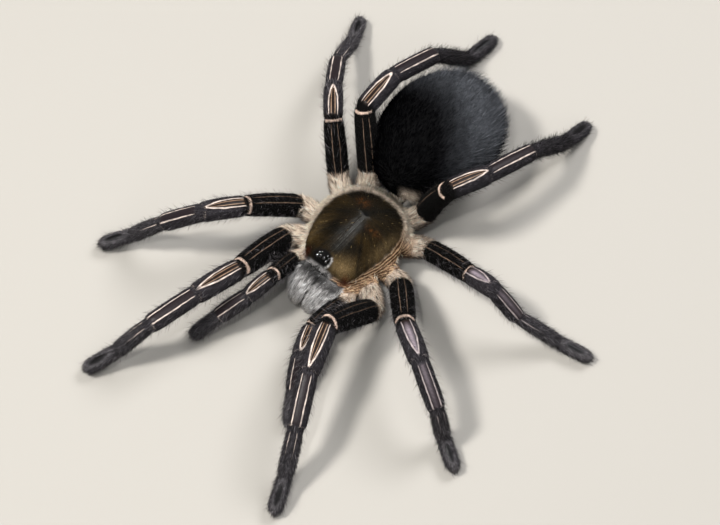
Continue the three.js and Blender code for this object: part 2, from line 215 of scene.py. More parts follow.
class Limb:
    """A leg or a palp: its joints from coxa to toe, the frame of each segment, and its thickness."""

    def __init__(self, name, segments):
        self.name = name
        self.is_palp = name.startswith("palp")
        self.is_hind_leg = name.startswith("leg_4")
        self.segments = segments
        self.nodes = [f"{name}_{segment}" for segment in segments]
        self.joints = [meeting("sternum", self.nodes[0])]
        self.joints += [meeting(a, b) for a, b in zip(self.nodes, self.nodes[1:])]
        self.joints.append(self.toe_tip())
        self.joints.insert(0, self.coxa_root())
        self.starts = np.array(self.joints[:-1])
        self.ends = np.array(self.joints[1:])
        self.lengths = np.linalg.norm(self.ends - self.starts, axis=1)
        self.ahead = unit(self.ends - self.starts)
        self.aside = unit(np.cross(self.ahead, [0, 0, 1]))
        self.above = np.cross(self.aside, self.ahead)
        self.radii = [PALP_COXA_RADIUS if self.is_palp else COXA_RADIUS]
        self.radii += [self.radius_of(i + 1) for i in range(len(segments))]

    def toe_tip(self):
        foot = points_of(self.nodes[-1])
        ankle = self.joints[-1]
        ahead = unit(foot.mean(axis=0) - ankle)
        reach = dots(foot - ankle, ahead)
        tip = foot[reach > reach.max() - 0.02 * MM].mean(axis=0)
        return tip - ahead * TOE_INSET

    def coxa_root(self):
        """Where the coxa starts, under the body: on the way from the hip to the middle."""
        hip = self.joints[0]
        middle = np.array([MIDDLE_X, CARAPACE.centre[1], hip[2]])
        inner = middle + (hip - middle) * 0.42 - np.array([0, 0, COXA_DROP])
        if self.is_palp:
            inner[1] = CARAPACE.centre[1] - 4 * MM
        return inner

    def radius_of(self, i):
        """Half the width of a segment's solid, at its widest."""
        places = points_of(self.nodes[i - 1]) - self.starts[i]
        along = dots(places, self.ahead[i]) / self.lengths[i]
        middle = places[(along > 0.15) & (along < 0.85)]
        aside = dots(middle, self.aside[i])
        return (aside.max() - aside.min()) / 2


LIMBS = [Limb(f"leg_{pair}_{side}", LEG_SEGMENTS) for pair in (1, 2, 3, 4) for side in SIDES]
LIMBS += [Limb(f"palp_{side}", PALP_SEGMENTS) for side in SIDES]


# ---- camera ----
CAMERA_AZIMUTH, CAMERA_ELEVATION = math.radians(41), math.radians(66)
CAMERA_DISTANCE = 0.471


def add_camera():
    data = bpy.data.cameras.new("camera")
    data.sensor_width = 36
    data.lens = 120.45
    data.clip_start = 0.01
    data.clip_end = 10
    camera = bpy.data.objects.new("camera", data)
    bpy.context.collection.objects.link(camera)
    target = Vector((MOUND.centre[0] + 2.6 * MM, CARAPACE.centre[1] - 0.9 * MM, 0))
    level = math.cos(CAMERA_ELEVATION)
    back = Vector((
        math.sin(CAMERA_AZIMUTH) * level, -math.cos(CAMERA_AZIMUTH) * level, math.sin(CAMERA_ELEVATION),
    ))
    camera.location = target + back * CAMERA_DISTANCE
    camera.rotation_euler = back.to_track_quat("Z", "Y").to_euler()
    bpy.context.scene.camera = camera


# ---- making shapes ----
def places_of(piece):
    places = np.empty(len(piece.data.vertices) * 3)
    piece.data.vertices.foreach_get("co", places)
    return places.reshape(-1, 3)


def normals_of(piece):
    normals = np.empty(len(piece.data.vertices) * 3, dtype=np.float32)
    piece.data.vertex_normals.foreach_get("vector", normals)
    return normals.reshape(-1, 3).astype(float)


def move_to(piece, places):
    piece.data.vertices.foreach_set("co", np.ascontiguousarray(places).ravel())
    piece.data.update()


def add_ball(name, sides=28, rings=18):
    bpy.ops.object.select_all(action="DESELECT")
    bpy.ops.mesh.primitive_uv_sphere_add(segments=sides, ring_count=rings, radius=1)
    piece = bpy.context.object
    piece.name = name
    return piece


def add_oval(name, centre, half, sides=28, rings=18):
    """A ball stretched to half sizes round a centre."""
    piece = add_ball(name, sides, rings)
    move_to(piece, centre + places_of(piece) * half)
    return piece


def round_z(ball):
    """The heading of a ball's places round its Z axis."""
    return unit(ball[:, :2] + 1e-9)


def blunt_end(reach, squareness):
    """How wide the end of a rod still is, as its surface reaches from 0 to 1 toward the tip."""
    return np.sqrt(np.clip(1 - reach ** squareness, 0, 1))


def apply_modifier(piece, name, kind, **settings):
    bpy.ops.object.select_all(action="DESELECT")
    piece.select_set(True)
    bpy.context.view_layer.objects.active = piece
    modifier = piece.modifiers.new(name, kind)
    for key, value in settings.items():
        setattr(modifier, key, value)
    bpy.ops.object.modifier_apply(modifier=modifier.name)


def join(name, pieces):
    bpy.ops.object.select_all(action="DESELECT")
    for piece in pieces:
        piece.select_set(True)
    bpy.context.view_layer.objects.active = pieces[0]
    bpy.ops.object.join()
    pieces[0].name = name
    return pieces[0]


# ---- the forms under the skin ----
# How wide the ends of a segment are beside its middle, and how far its back arches, in millimetres.
SWELL = {
    "coxa": (0.88, 0.0), "femur": (0.9, 0.5), "patella": (0.93, 0.25), "tibia": (0.95, 0.1),
    "metatarsus": (0.96, 0.1), "tarsus": (0.97, 0.05),
}
OVERRUN, TOE_OVERRUN = 0.6, 0.1  # how far a form runs past a joint and past the toe, in radii
END_SQUARENESS, TOE_SQUARENESS = 10, 6  # 2 is round


def limb_form(limb, i):
    """One segment of a limb: a ball drawn out along it, swelling between its joints."""
    name = (("coxa",) + limb.segments)[i]
    ends, arch = SWELL[name]
    piece = add_ball(f"{limb.name}_{name}_form", 24, 22)
    ball = places_of(piece)
    is_toe = i == len(limb.starts) - 1
    radius = limb.radii[i] - COAT_DEPTH["foot" if name in ("metatarsus", "tarsus") else "leg"]
    before = OVERRUN * radius
    after = TOE_OVERRUN * radius if is_toe else before
    along = (ball[:, 2] + 1) / 2 * (limb.lengths[i] + before + after) - before
    share = np.clip(along / limb.lengths[i], 0, 1)
    swell = ends + (1 - ends) * np.sin(math.pi * share ** 0.85) ** 0.7
    squareness = np.where((ball[:, 2] > 0) & is_toe, TOE_SQUARENESS, END_SQUARENESS)
    cap = blunt_end(np.abs(ball[:, 2]), squareness)
    around = round_z(ball)
    rise = arch * MM * np.sin(math.pi * share)
    across = around[:, :1] * (radius * swell * cap)[:, None] * limb.aside[i]
    lift = (around[:, 1] * radius * swell * cap + rise)[:, None] * limb.above[i]
    move_to(piece, limb.starts[i] + along[:, None] * limb.ahead[i] + across + lift)
    return piece


def lean_at(height):
    """How far left of the top of the back the body's middle is at a height."""
    return LEAN * np.clip((CARAPACE.high[2] - height) / (7 * MM), 0, 1)


def half_back(along):
    """Half the width of the back, from -1 at its front edge to 1 at its rear edge."""
    return CARAPACE.half[0] - HEAD_NARROWER * (1 - smooth_step(along, -1.3, 0.1))


def corners_at(sine):
    """How round the outline of the back is, from -1 at its front edge to 1 at its rear edge."""
    return HEAD_CORNERS + (REAR_CORNERS - HEAD_CORNERS) * smooth_step(sine, -0.6, 0.3)


def carapace_form():
    """The back shield of the front body: square at the head, round behind, domed on top."""
    piece = add_ball("carapace_form", 64, 32)
    ball = places_of(piece)
    depth = COAT_DEPTH["carapace"]
    reach = np.hypot(ball[:, 0], ball[:, 1])
    cosine = ball[:, 0] / np.maximum(reach, 1e-6)
    sine = ball[:, 1] / np.maximum(reach, 1e-6)
    roundness = corners_at(sine)
    along = signed_power(sine, roundness)
    spread = reach ** 0.8
    top = (DOME - depth) * np.abs(ball[:, 2]) ** 0.62
    height = RIM_HEIGHT + np.where(ball[:, 2] > 0, top, RIM_SKIRT * ball[:, 2])
    across = (half_back(along) - depth) * signed_power(cosine, roundness) * spread
    move_to(piece, np.column_stack([
        MOUND.centre[0] + BACK_ASIDE + lean_at(height) + across,
        CARAPACE.centre[1] + (CARAPACE.half[1] - depth) * along * spread,
        height,
    ]))
    return piece


def inside_rim(points):
    """How far inside the carapace's rim points lie, seen from above, in millimetres."""
    x = points[:, 0] - MOUND.centre[0] - BACK_ASIDE - lean_at(points[:, 2])
    y = (points[:, 1] - CARAPACE.centre[1]) / CARAPACE.half[1]
    roundness = np.full(len(x), REAR_CORNERS)
    for _ in range(4):  # the roundness hangs on the heading, and the heading on the roundness
        roundness = corners_at(signed_power(np.clip(y, -1, 1), 1 / roundness))
    power = 2 / roundness
    reach = (np.abs(x / half_back(y)) ** power + np.abs(y) ** power) ** (1 / power)
    return (1 - reach) * np.maximum(np.hypot(x, y * CARAPACE.half[1]) / MM, 5)


# How wide the pale border of the carapace is, in millimetres, by heading from its middle
# (0 is the spider's left, -90 its front).
BORDER = np.array([
    (-180, 1.1), (-150, 0.8), (-128, 0.42), (-90, 0.52), (-60, 0.46), (-45, 0.8), (-20, 1.0), (0, 1.1),
    (30, 1.05), (60, 1.0), (90, 1.35), (135, 1.45), (165, 1.2), (180, 1.1),
])
RIDGE_SPACING = 0.62  # millimetres between the hairy ridges along the left edge


def border_width(points):
    turn = np.degrees(np.arctan2(points[:, 1] - CARAPACE.centre[1], points[:, 0] - CARAPACE.centre[0]))
    return np.interp(turn, BORDER[:, 0], BORDER[:, 1])


def left_ridges(points):
    """The hairy ridges along the left edge of the carapace: how strongly they show, and their tint."""
    x = (points[:, 0] - MOUND.centre[0]) / MM
    y = (points[:, 1] - CARAPACE.centre[1]) / MM
    height = (points[:, 2] - RIM_HEIGHT) / MM
    inset = inside_rim(points)
    share = smooth_step(x, 2.5, 4.5) * smooth_step(-y, -8, -4)
    share = share * (1 - smooth_step(inset, border_width(points) * 0.85, border_width(points) * 1.15))
    share = share * smooth_step(inset, -1.7, -1.3) * smooth_step(height, -2.2, -1.5)
    across = inset + 0.7 * height + 0.12 * ripple(points, 3 * MM, 17)
    wave = np.cos(across * 2 * math.pi / RIDGE_SPACING)
    return share, mixed(RIM_BROWN, RIM_TAN, smooth_step(wave, -0.5, 0.8))


def mound_form():
    """The low mound that carries the eyes."""
    half = MOUND.half - 0.1 * MM
    half[2] = 1.0 * MM
    centre = MOUND.centre.copy()
    centre[2] = MOUND.high[2] - 1.3 * MM
    return add_oval("eye_mound_form", centre, half)


CHELICERA_HALF = np.array([3.0, 5.98, 3.2]) * MM  # half the width, length and thickness of its solid
CHELICERA_ROUNDNESS = (0.65, 0.8, 0.85)  # across, along and up: 1 is round and 0 is square
CHELICERA_ASIDE = 2.05 * MM  # its middle lies this far beside the cleft
CHELICERA_BEHIND = 5.95 * MM  # its middle lies this far behind its front
CHELICERA_HEIGHT = 6.5 * MM
CHELICERA_DROOP = math.radians(16)


def chelicera_form(side):
    """A thick lobe, broad at its root, that hangs forward from the head and turns down to its fang."""
    piece = add_ball(f"chelicera_{side}_form", 36, 28)
    x, y, z = (signed_power(row, power) for row, power in zip(places_of(piece).T, CHELICERA_ROUNDNESS))
    x = x - SIDES[side] * 0.2 * np.maximum(0, -y) ** 2
    x = x * (1 + 0.3 * np.maximum(0, y + 0.2))
    half = CHELICERA_HALF - np.array([0.6, 1, 1]) * COAT_DEPTH["chelicera"]
    y, z = y * half[1], z * half[2]
    level = y * math.cos(CHELICERA_DROOP) - z * math.sin(CHELICERA_DROOP)
    rise = y * math.sin(CHELICERA_DROOP) + z * math.cos(CHELICERA_DROOP)
    places = np.column_stack([
        MIDDLE_X + SIDES[side] * CHELICERA_ASIDE + x * half[0],
        CHELICERAE[side].low[1] + CHELICERA_BEHIND + level,
        CHELICERA_HEIGHT + rise,
    ])
    under_back = smooth_step(places[:, 1] - CARAPACE.low[1], -0.9 * MM, 0.7 * MM)
    places[:, 2] -= under_back * np.maximum(0, places[:, 2] - RIM_HEIGHT + 0.9 * MM)
    move_to(piece, places)
    return piece


def abdomen_form():
    """A plump oval, a little wider behind."""
    piece = add_ball("abdomen_form", 48, 32)
    ball = places_of(piece)
    swollen = ball * (ABDOMEN.half - COAT_DEPTH["abdomen"])
    swollen[:, 0] *= 1 + 0.03 * np.sin(ball[:, 1] * 1.6)
    move_to(piece, ABDOMEN.centre + swollen)
    return piece


def sternum_form():
    centre = np.array([MIDDLE_X, CARAPACE.centre[1] - 0.5 * MM, STERNUM.low[2] + 2.5 * MM])
    return add_oval("sternum_form", centre, np.array([4.5, 6.0, 2.0]) * MM, 28, 16)


def pedicel_form():
    """The waist, which runs on into the bodies before and behind it."""
    overlap = 1.5 * MM
    half = np.array([1.5 * MM, PEDICEL.half[1] + overlap, 1.5 * MM])
    return add_oval("pedicel_form", PEDICEL.centre, half, 20, 12)


def spinneret_form(side):
    """A finger of three short joints behind the abdomen."""
    box = box_of(f"spinneret_{side}")
    piece = add_ball(f"spinneret_{side}_form", 16, 18)
    ball = places_of(piece)
    overlap = 1.5 * MM
    along = (ball[:, 2] + 1) / 2
    cap = blunt_end(np.abs(ball[:, 2]), 6)
    radius = 0.72 * MM * (1 - 0.4 * along) * (1 - 0.12 * np.cos(along * 3 * 2 * math.pi)) * cap
    around = round_z(ball)
    move_to(piece, np.column_stack([
        box.centre[0] - SIDES[side] * (0.5 - along) * 0.8 * MM + around[:, 0] * radius,
        box.low[1] - overlap + along * (box.half[1] * 2 + overlap),
        box.centre[2] + (0.5 - along) * 0.7 * MM + around[:, 1] * radius,
    ]))
    return piece


def flesh_forms():
    """Every form under the skin, with the kind of flesh it is and the limb or side it belongs to."""
    forms = [(carapace_form(), "carapace", 0), (mound_form(), "carapace", 0)]
    forms += [(chelicera_form(side), "chelicera", n) for n, side in enumerate(SIDES)]
    forms += [(abdomen_form(), "abdomen", 0), (sternum_form(), "sternum", 0)]
    forms += [(pedicel_form(), "sternum", 0)]
    forms += [(spinneret_form(side), "spinneret", n) for n, side in enumerate(SIDES)]
    for n, limb in enumerate(LIMBS):
        forms.append((limb_form(limb, 0), "hip", n))
        forms += [(limb_form(limb, i), "limb", n) for i in range(1, len(limb.starts))]
    return forms


# ---- folds of the skin that are finer than its forms ----
# The furrows on the carapace: heading from the fovea (0 is the spider's left, -90 its front)
# and depth in millimetres. The first pair parts the head from the rest.
FURROWS = [
    (-57, 0.3), (-125, 0.26), (-22, 0.16), (-158, 0.16), (14, 0.14), (166, 0.14), (52, 0.12), (128, 0.12),
]


def beside_furrow(away, angle):
    """How far along and beside a furrow places lie, from the fovea."""
    heading = np.array([math.cos(math.radians(angle)), math.sin(math.radians(angle))])
    return away[:, :2] @ heading, away[:, 0] * heading[1] - away[:, 1] * heading[0]


def back_folds(points):
    """How deep the fovea and the furrows of the carapace are."""
    away = points - FOVEA
    flat = np.hypot(away[:, 0], away[:, 1])
    pit = 0.6 * MM * np.exp(-((away[:, 0] / (0.8 * MM)) ** 2 + (away[:, 1] / (0.4 * MM)) ** 2))
    furrows = np.zeros(len(points))
    for angle, depth in FURROWS:
        ahead, off = beside_furrow(away, angle)
        shape = peak(off, 0.42 * MM) * smooth_step(ahead, 0.6 * MM, 2.4 * MM)
        furrows += depth * MM * shape * (1 - smooth_step(flat, 7.5 * MM, 9.5 * MM))
    return pit + furrows


def joint_folds(limb, points):
    """How deep the skin folds in at the joints of a limb."""
    at = limb_place(limb, points)
    from_joint = np.minimum(at.share, 1 - at.share) * at.length
    inner = (at.along > 0.5) & (at.along < len(limb.segments) - 0.5)
    return 0.16 * MM * peak(from_joint, 0.22 * MM) * inner


def press_folds(points, normals, kinds, owners):
    on_back = (kinds == KINDS.index("carapace")) & (points[:, 2] > RIM_HEIGHT)
    press = on_back * back_folds(points)
    for owner, limb in enumerate(LIMBS):
        here = (kinds == KINDS.index("limb")) & (owners == owner)
        press[here] += joint_folds(limb, points[here])
    return points - normals * press[:, None]


def one_skin():
    """Joins all the forms into one closed surface, and says what kind of flesh each place is."""
    forms = flesh_forms()
    tree = KDTree(sum(len(piece.data.vertices) for piece, _, _ in forms))
    tags = []
    for piece, kind, owner in forms:
        for place in places_of(piece):
            tree.insert(place, len(tags))
            tags.append((KINDS.index(kind), owner))
    tree.balance()
    skin = join("skin", [piece for piece, _, _ in forms])
    apply_modifier(
        skin, "one_surface", "REMESH", mode="VOXEL", voxel_size=SKIN_GRAIN, use_smooth_shade=True)
    apply_modifier(skin, "soften", "SMOOTH", factor=0.5, iterations=3)
    points = places_of(skin)
    found = np.array([tags[tree.find(place)[1]] for place in points])
    kinds, owners = found[:, 0], found[:, 1]
    points = press_folds(points, normals_of(skin), kinds, owners)
    points[:, 2] = np.maximum(points[:, 2], FLOOR_GAP)
    move_to(skin, points)
    return skin, kinds, owners


# ---- markings: each takes points and normals, and says how skin and coat look there ----
def plain_look(count):
    """tint: colour; pale: the colour of the lines; line: how far inside a pale line, in metres;
    beside: how far off the middle of a long line that is half_line wide to each side;
    place: across a knee's golden strip, from -1 to 1; bare: 1 where skin shows; lie: the way the hair
    points along the body; lean: its angle off the skin, in degrees; density: how thick it grows beside
    other places; u and v: the place on the unwrap."""
    return SimpleNamespace(
        tint=np.zeros((count, 3)), pale=np.tile(CREAM, (count, 1)), line=np.full(count, NO_LINE),
        beside=np.full(count, 1 * MM), half_line=np.full(count, NO_LINE), place=np.full(count, 9.0),
        bare=np.zeros(count), lie=np.zeros((count, 3)), lean=np.full(count, 28.0),
        length=np.full(count, 0.8 * MM), width=np.full(count, 0.09 * MM), density=np.full(count, 30.0),
        u=np.zeros(count), v=np.zeros(count),
    )


def unwrap_from_above(look, points):
    """The unwrap of the hips and the sternum, as seen from above."""
    look.u = 0.5 + 0.4 * (points[:, 0] - MIDDLE_X) / (14 * MM)
    look.v = 0.5 + 0.4 * (points[:, 1] - CARAPACE.centre[1]) / (16 * MM)


# Pale lines on the back of a limb, by how far along it one is. 1 to 2 is the knee, and so on:
# (along, half the space between the two lines, half a line's width), in millimetres.
LINES = np.array([
    (0.04, 0.55, 0.00), (0.10, 0.60, 0.07), (0.50, 0.72, 0.08), (0.88, 0.62, 0.06), (0.93, 0.60, 0.00),
    (1.00, 0.82, 0.00), (1.04, 0.84, 0.08), (1.25, 0.90, 0.11), (1.55, 0.84, 0.15), (1.78, 0.50, 0.15),
    (1.92, 0.17, 0.14), (1.98, 0.10, 0.00), (2.03, 0.78, 0.00), (2.06, 0.82, 0.07), (2.50, 0.88, 0.12),
    (2.94, 0.84, 0.13), (2.99, 0.84, 0.00), (3.03, 0.66, 0.00), (3.06, 0.68, 0.09), (3.30, 0.72, 0.07),
    (3.62, 0.66, 0.00), (5.00, 0.60, 0.00),
])
EDGES = ((2, 0.07), (3, 0.12), (4, 0.1))  # small pale edges: at which joint, and half their width
# legs whose bare knees carry a painted lavender glare, and grey lines
GLARE_KNEES = ("leg_2_left", "leg_3_left")
DIM_FEMURS = ("leg_1_left", "palp_left", "palp_right")
STREAKS = (-0.42, 0.44)  # where golden streaks run between the pale lines of a knee, from -1 to 1
LIMB_HAIR_LENGTH = ((-1, 0, 1, 3, 3.3, 5), (1.5, 0.9, 0.62, 0.62, 0.8, 0.8))  # along, and millimetres
LIMB_HAIR_LEAN = ((-1, 0, 0.3, 4, 5), (26.0, 24, 20, 22, 26))  # along, and degrees
PALP_SCALE = 0.85  # how large a palp's markings are beside a leg's
HIND_GREY = 0.4  # how strongly the grey shows on the hind feet


def limb_place(limb, points):
    """Where points lie on a limb: along it (0 at the hip, 1 at the knee ...), across and above
    its middle line in metres, and the frame of the segment there."""
    count = len(limb.starts)
    gaps = np.empty((count, len(points)))
    shares = np.empty((count, len(points)))
    for i in range(count):
        offset = points - limb.starts[i]
        shares[i] = dots(offset, limb.ahead[i]) / limb.lengths[i]
        inside = np.clip(shares[i], 0, 1)[:, None] * limb.lengths[i] * limb.ahead[i]
        gaps[i] = np.linalg.norm(offset - inside, axis=1)
    pick = gaps.argmin(axis=0)
    share = np.clip(shares[pick, np.arange(len(points))], 0, 1)
    offset = points - limb.starts[pick]
    return SimpleNamespace(
        along=pick - 1 + share, share=share, segment=pick,
        across=dots(offset, limb.aside[pick]), rise=dots(offset, limb.above[pick]),
        ahead=limb.ahead[pick], above=limb.above[pick], length=limb.lengths[pick],
        radius=np.array(limb.radii)[pick],
    )


def marked_place(limb, points, normals, fine):
    """Where points lie among the markings of a limb. Along skips the metatarsus that a palp lacks."""
    at = limb_place(limb, points)
    if limb.is_palp:
        at.along = np.where(at.along > 3, at.along + 1, at.along)
    at.points = points
    at.facing = dots(normals, at.above)
    at.scale = PALP_SCALE if limb.is_palp else 1.0
    at.tone = tones(points, 1.0 * MM, 9, 0.3)
    at.fine = fine
    at.wander = 0.02 * MM * ripple(points, 2.2 * MM, 5)
    at.space = np.interp(at.along, LINES[:, 0], LINES[:, 1]) * MM * at.scale
    at.pad = np.hypot((at.along - 4.5) / 0.31, at.across / (0.62 * MM))  # 1 at the edge of a toe's pad
    return at


def long_lines(at):
    """How far points lie beside the nearer of the two long lines, and how wide it is there."""
    half_line = np.interp(at.along, LINES[:, 0], LINES[:, 2]) * MM * at.scale
    half_line = np.where((at.facing > 0.05) & (half_line > 0), half_line, NO_LINE)
    return np.abs(at.across + at.wander) - at.space, half_line


def femur_ring(at):
    """How far points lie inside the bright ring at the far end of the femur, on its upper side."""
    gap = np.abs((1 - at.along) * at.length - 0.34 * MM + 0.6 * at.wander)
    half = (0.27 - 0.07 * smooth_step(at.facing, 0.5, 0.9)) * MM * at.scale
    return np.where((at.facing > -0.05) & (at.segment == 1), half - gap, NO_LINE)


def joint_edges(at, line):
    """Adds the small pale edges at the joints beyond the knee, outside the long lines."""
    for joint, half in EDGES:
        gap = np.abs((joint - at.along) * at.length - 0.22 * MM)
        on_edge = (at.along < joint) & (at.along > joint - 1) & (np.abs(at.across) > 0.55 * MM)
        line = np.maximum(line, np.where(on_edge & (at.facing > 0.05), half * MM - gap, NO_LINE))
    return line


def draw_lines(look, at, limb):
    """The pale lines and edges of a limb, and where they are tan, grey or cream."""
    look.beside, look.half_line = long_lines(at)
    line = joint_edges(at, look.half_line - np.abs(look.beside))
    if limb.is_hind_leg:
        line = np.where(at.along > 3, NO_LINE, line)
        look.half_line = np.where(at.along > 3, NO_LINE, look.half_line)
    ring = femur_ring(at)
    look.line = np.maximum(line, ring)
    faint = (at.segment == 1) & (ring < 0)
    look.pale = np.where(faint[:, None], LINE_TAN * (0.45 if limb.name in DIM_FEMURS else 1.0), look.pale)
    if limb.name in GLARE_KNEES:
        look.pale = np.where((at.along > 1)[:, None], LINE_GREY, look.pale)
    look.pale = np.where((ring > 0)[:, None], RING_CREAM, look.pale)


def glare_knee(at, place):
    """A painted lavender sheen, the highlight of light on the bare cuticle, between the lines of a knee,
    dark away from its glare, which fades on the shin.
    """
    glare = peak(place - 0.15, 0.4)
    strip = mixed(KNEE_LAVENDER_GLARE * 0.3, KNEE_LAVENDER_GLARE * 1.6, glare * (0.6 + 0.4 * at.tone))
    strip = mixed(KNEE_BROWN, strip, smooth_step(at.along, 1.02, 1.35))
    strip = strip * (1 - 0.55 * smooth_step(at.along, 1.9, 2.1))[:, None]
    return mixed(strip, SHIN_BLACK * 1.6, smooth_step(at.along, 2.2, 3.0) * (1 - 0.4 * glare))


def golden_knee(at, place):
    """Golden streaks on brown between the lines of a knee, and black on the shin."""
    off = np.minimum.reduce([np.abs(place - streak) for streak in STREAKS])
    golden = at.fine * (1 - smooth_step(off, 0.05, 0.16)) * (at.along > 1) * (at.along < 1.95)
    return mixed(mixed(KNEE_BROWN, KNEE_GOLD, golden), SHIN_BLACK, smooth_step(at.along, 1.85, 2.0))


def strip_tint(at, limb):
    """The colours of the bare strip between the lines, and of the toe's pad."""
    knee = glare_knee if limb.name in GLARE_KNEES else golden_knee
    strip = knee(at, at.across / np.maximum(at.space, 0.05 * MM))
    return mixed(strip, TOE_BLACK, smooth_step(at.along, 3.0, 4.0))


def velvet_tint(at, limb):
    """The colours of a limb's velvet: black, with grey on its knees and more on its feet."""
    hind = HIND_GREY if limb.is_hind_leg else 1.0
    grey = mixed(LEG_BLACK, LEG_GREY, smooth_step(at.along, 1.0, 1.15) * (0.3 + 0.45 * at.tone))
    grey = mixed(grey, FOOT_GREY, smooth_step(at.along, 2.9, 3.3) * (0.35 + 0.45 * at.tone) * hind)
    return mixed(grey, UNDER_BLACK, smooth_step(-at.facing, -0.1, 0.7) * 0.7)


def toe_tint(at, limb, tint):
    """Adds the grey rim of the toe's pad, and the grey of the toe's tip."""
    hind = HIND_GREY if limb.is_hind_leg else 1.0
    rim = peak(at.pad - 1.35, 0.35) * (at.facing > 0) * (at.along > 4) * (not limb.is_palp)
    tint = mixed(tint, TOE_GREY, rim * (0.25 + 0.35 * at.tone) * hind)
    tip = smooth_step(at.along, 4.88, 4.98)
    return mixed(tint, TOE_GREY, 0.6 * tip * smooth_step(at.facing, -0.4, 0.2))


def colour_limb(look, at, limb):
    """Where the skin of a limb is bare, and the colours of its skin and velvet."""
    between = (np.abs(at.across) < at.space) & (at.facing > 0.1) & (look.line < 0)
    strips = ((at.along > 1.0) & (at.along < 1.95)) | ((at.along > 2.04) & (at.along < 2.97))
    bare = (strips & between) | ((at.pad < 1) & (at.facing > 0.1) & (not limb.is_palp))
    look.bare = bare.astype(float)
    tint = np.where(bare[:, None], strip_tint(at, limb), velvet_tint(at, limb))
    look.tint = toe_tint(at, limb, tint)
    golden = (at.along > 1.03) & (at.along < 1.95) & (at.facing > 0.1) & (limb.name not in GLARE_KNEES)
    look.place = np.where(golden, at.across / np.maximum(at.space, 0.05 * MM), 9)


def band_hip(look, at):
    """Adds the pale hair of the hip end, in close bands, on top."""
    from_hip = at.along * at.length
    band = np.cos((from_hip / MM) * 2 * math.pi / 0.8 + 1.1 * ripple(at.points, 2.5 * MM, 12))
    hip = 1 - smooth_step(from_hip, 0.2 * MM, 1.5 * MM)
    hip_tint = mixed(HIP_CREAM, HIP_BROWN, smooth_step(band, 0.2, 0.95) * 0.75)
    look.tint = mixed(look.tint, hip_tint, hip * smooth_step(at.facing, -0.45, 0.15))
    look.line = np.where((from_hip < 1.2 * MM) & (band < -0.75) & (at.facing > 0.1), 0.1 * MM, look.line)


def lay_limb_hair(look, at, normals):
    """The hair of a limb: short and flat on lines and strips, longer on hip and foot."""
    look.lie = along_surface(at.ahead, normals)
    look.width = np.full(len(normals), 0.075 * MM)
    look.length = np.interp(at.along, *LIMB_HAIR_LENGTH) * MM * at.scale
    brush = smooth_step(at.along, 3.0, 3.4) * (1 - np.abs(at.facing))
    look.lean = np.interp(at.along, *LIMB_HAIR_LEAN) + 22 * brush
    on_strip = (look.bare > 0.5) & (at.along < 3)
    look.density = np.where(look.bare > 0.5, 1.0, 38.0)
    look.density = np.where(on_strip, 24.0, np.where(look.line > -0.14 * MM, 66.0, look.density))
    flat_hair = (look.line > 0) | on_strip
    look.length = np.where(flat_hair, look.length * 0.65, look.length)
    look.lean = np.where(flat_hair, 8.0, look.lean)


def limb_look(points, normals, limb, fine=0.0):
    """Black velvet with two pale lines along the back, bare between them, and grey on the feet.
    Fine is how strongly the thin golden streaks show: fully in hair, and less on the skin."""
    look = plain_look(len(points))
    at = marked_place(limb, points, normals, fine)
    draw_lines(look, at, limb)
    colour_limb(look, at, limb)
    band_hip(look, at)
    lay_limb_hair(look, at, normals)
    total = np.concatenate([[0], np.cumsum(limb.lengths)])
    look.u = 0.02 + 0.96 * (total[at.segment] + at.share * at.length) / total[-1]
    look.v = 0.5 + 0.48 * np.arctan2(at.across, at.rise) / math.pi
    return look


# ---- markings of the back: rays and streaks are waves (turns, phase, ...), and spots lie at
# (x, y, half width, half length, strength), in millimetres from the eyes and the middle ----
BACK_RAYS = ((11, 0.4, 0.25), (23, 2.0, 0.3), (41, 1.1, 0.3), (67, 4.0, 0.25))
BAND_STREAKS = ((13.1, 0.3, 0.9), (19.7, 2.2, 1.3), (29.3, 4.1, 0.7))
SHADED_SPOTS = ((-2.7, -1.5, 1.6, 3.8, 0.9), (3.6, -4.2, 1.3, 2.6, 0.85), (1.0, 6.5, 5.0, 2.2, 0.6))
GOLDEN_SPOTS = ((4.2, -7.8, 2.2, 2.2, 0.9), (7.4, 0.5, 1.2, 4.0, 0.4), (-5.6, -5.5, 1.4, 3.2, 0.35))
RUSTY_SPOTS = ((-1.7, 5.2, 1.1, 0.8, 0.8), (3.7, 1.6, 1.4, 0.6, 0.8), (-4.6, -9.6, 0.9, 0.8, 0.5))
BAND_WIDTH = ((-8, -5, -1, 2.0, 3.4), (1.9, 1.8, 1.5, 1.1, 0.5))  # along the body, and half the width
BAND_GLOW = ((-7.5, -5, -2, 1.5, 2.8), (0.0, 0.35, 0.8, 1.0, 0.8))  # along the body, and how bright


def spots(x, y, table):
    """How strongly soft spots show."""
    return sum(
        strength * np.exp(-(((x - across) / half_width) ** 2 + ((y - along) / half_length) ** 2))
        for across, along, half_width, half_length, strength in table
    )


def back_velvet(points, x, y):
    """Olive velvet in fine rays from the fovea, with shaded, golden and rusty spots."""
    away = points - FOVEA
    heading = np.arctan2(away[:, 1], away[:, 0])
    rays = sum(np.sin(heading * turns + phase) * weight for turns, phase, weight in BACK_RAYS)
    tone = np.clip(0.45 + 0.42 * rays + 0.25 * ripple(points, 4.5 * MM, 3), 0, 1)
    tone = tone * (1 - 0.55 * smooth_step(y, -3, 5))
    tint = mixed(DARK_OLIVE, OLIVE, tone)
    tint = mixed(tint, DARK_OLIVE * 0.7, np.clip(spots(x, y, SHADED_SPOTS), 0, 0.9))
    tint = mixed(tint, GOLD, np.clip(spots(x, y, GOLDEN_SPOTS), 0, 0.9))
    speckle = tones(points, 0.7 * MM, 13, 0.8)
    return mixed(tint, RUST, np.clip(spots(x, y, RUSTY_SPOTS), 0, 0.8) * speckle)


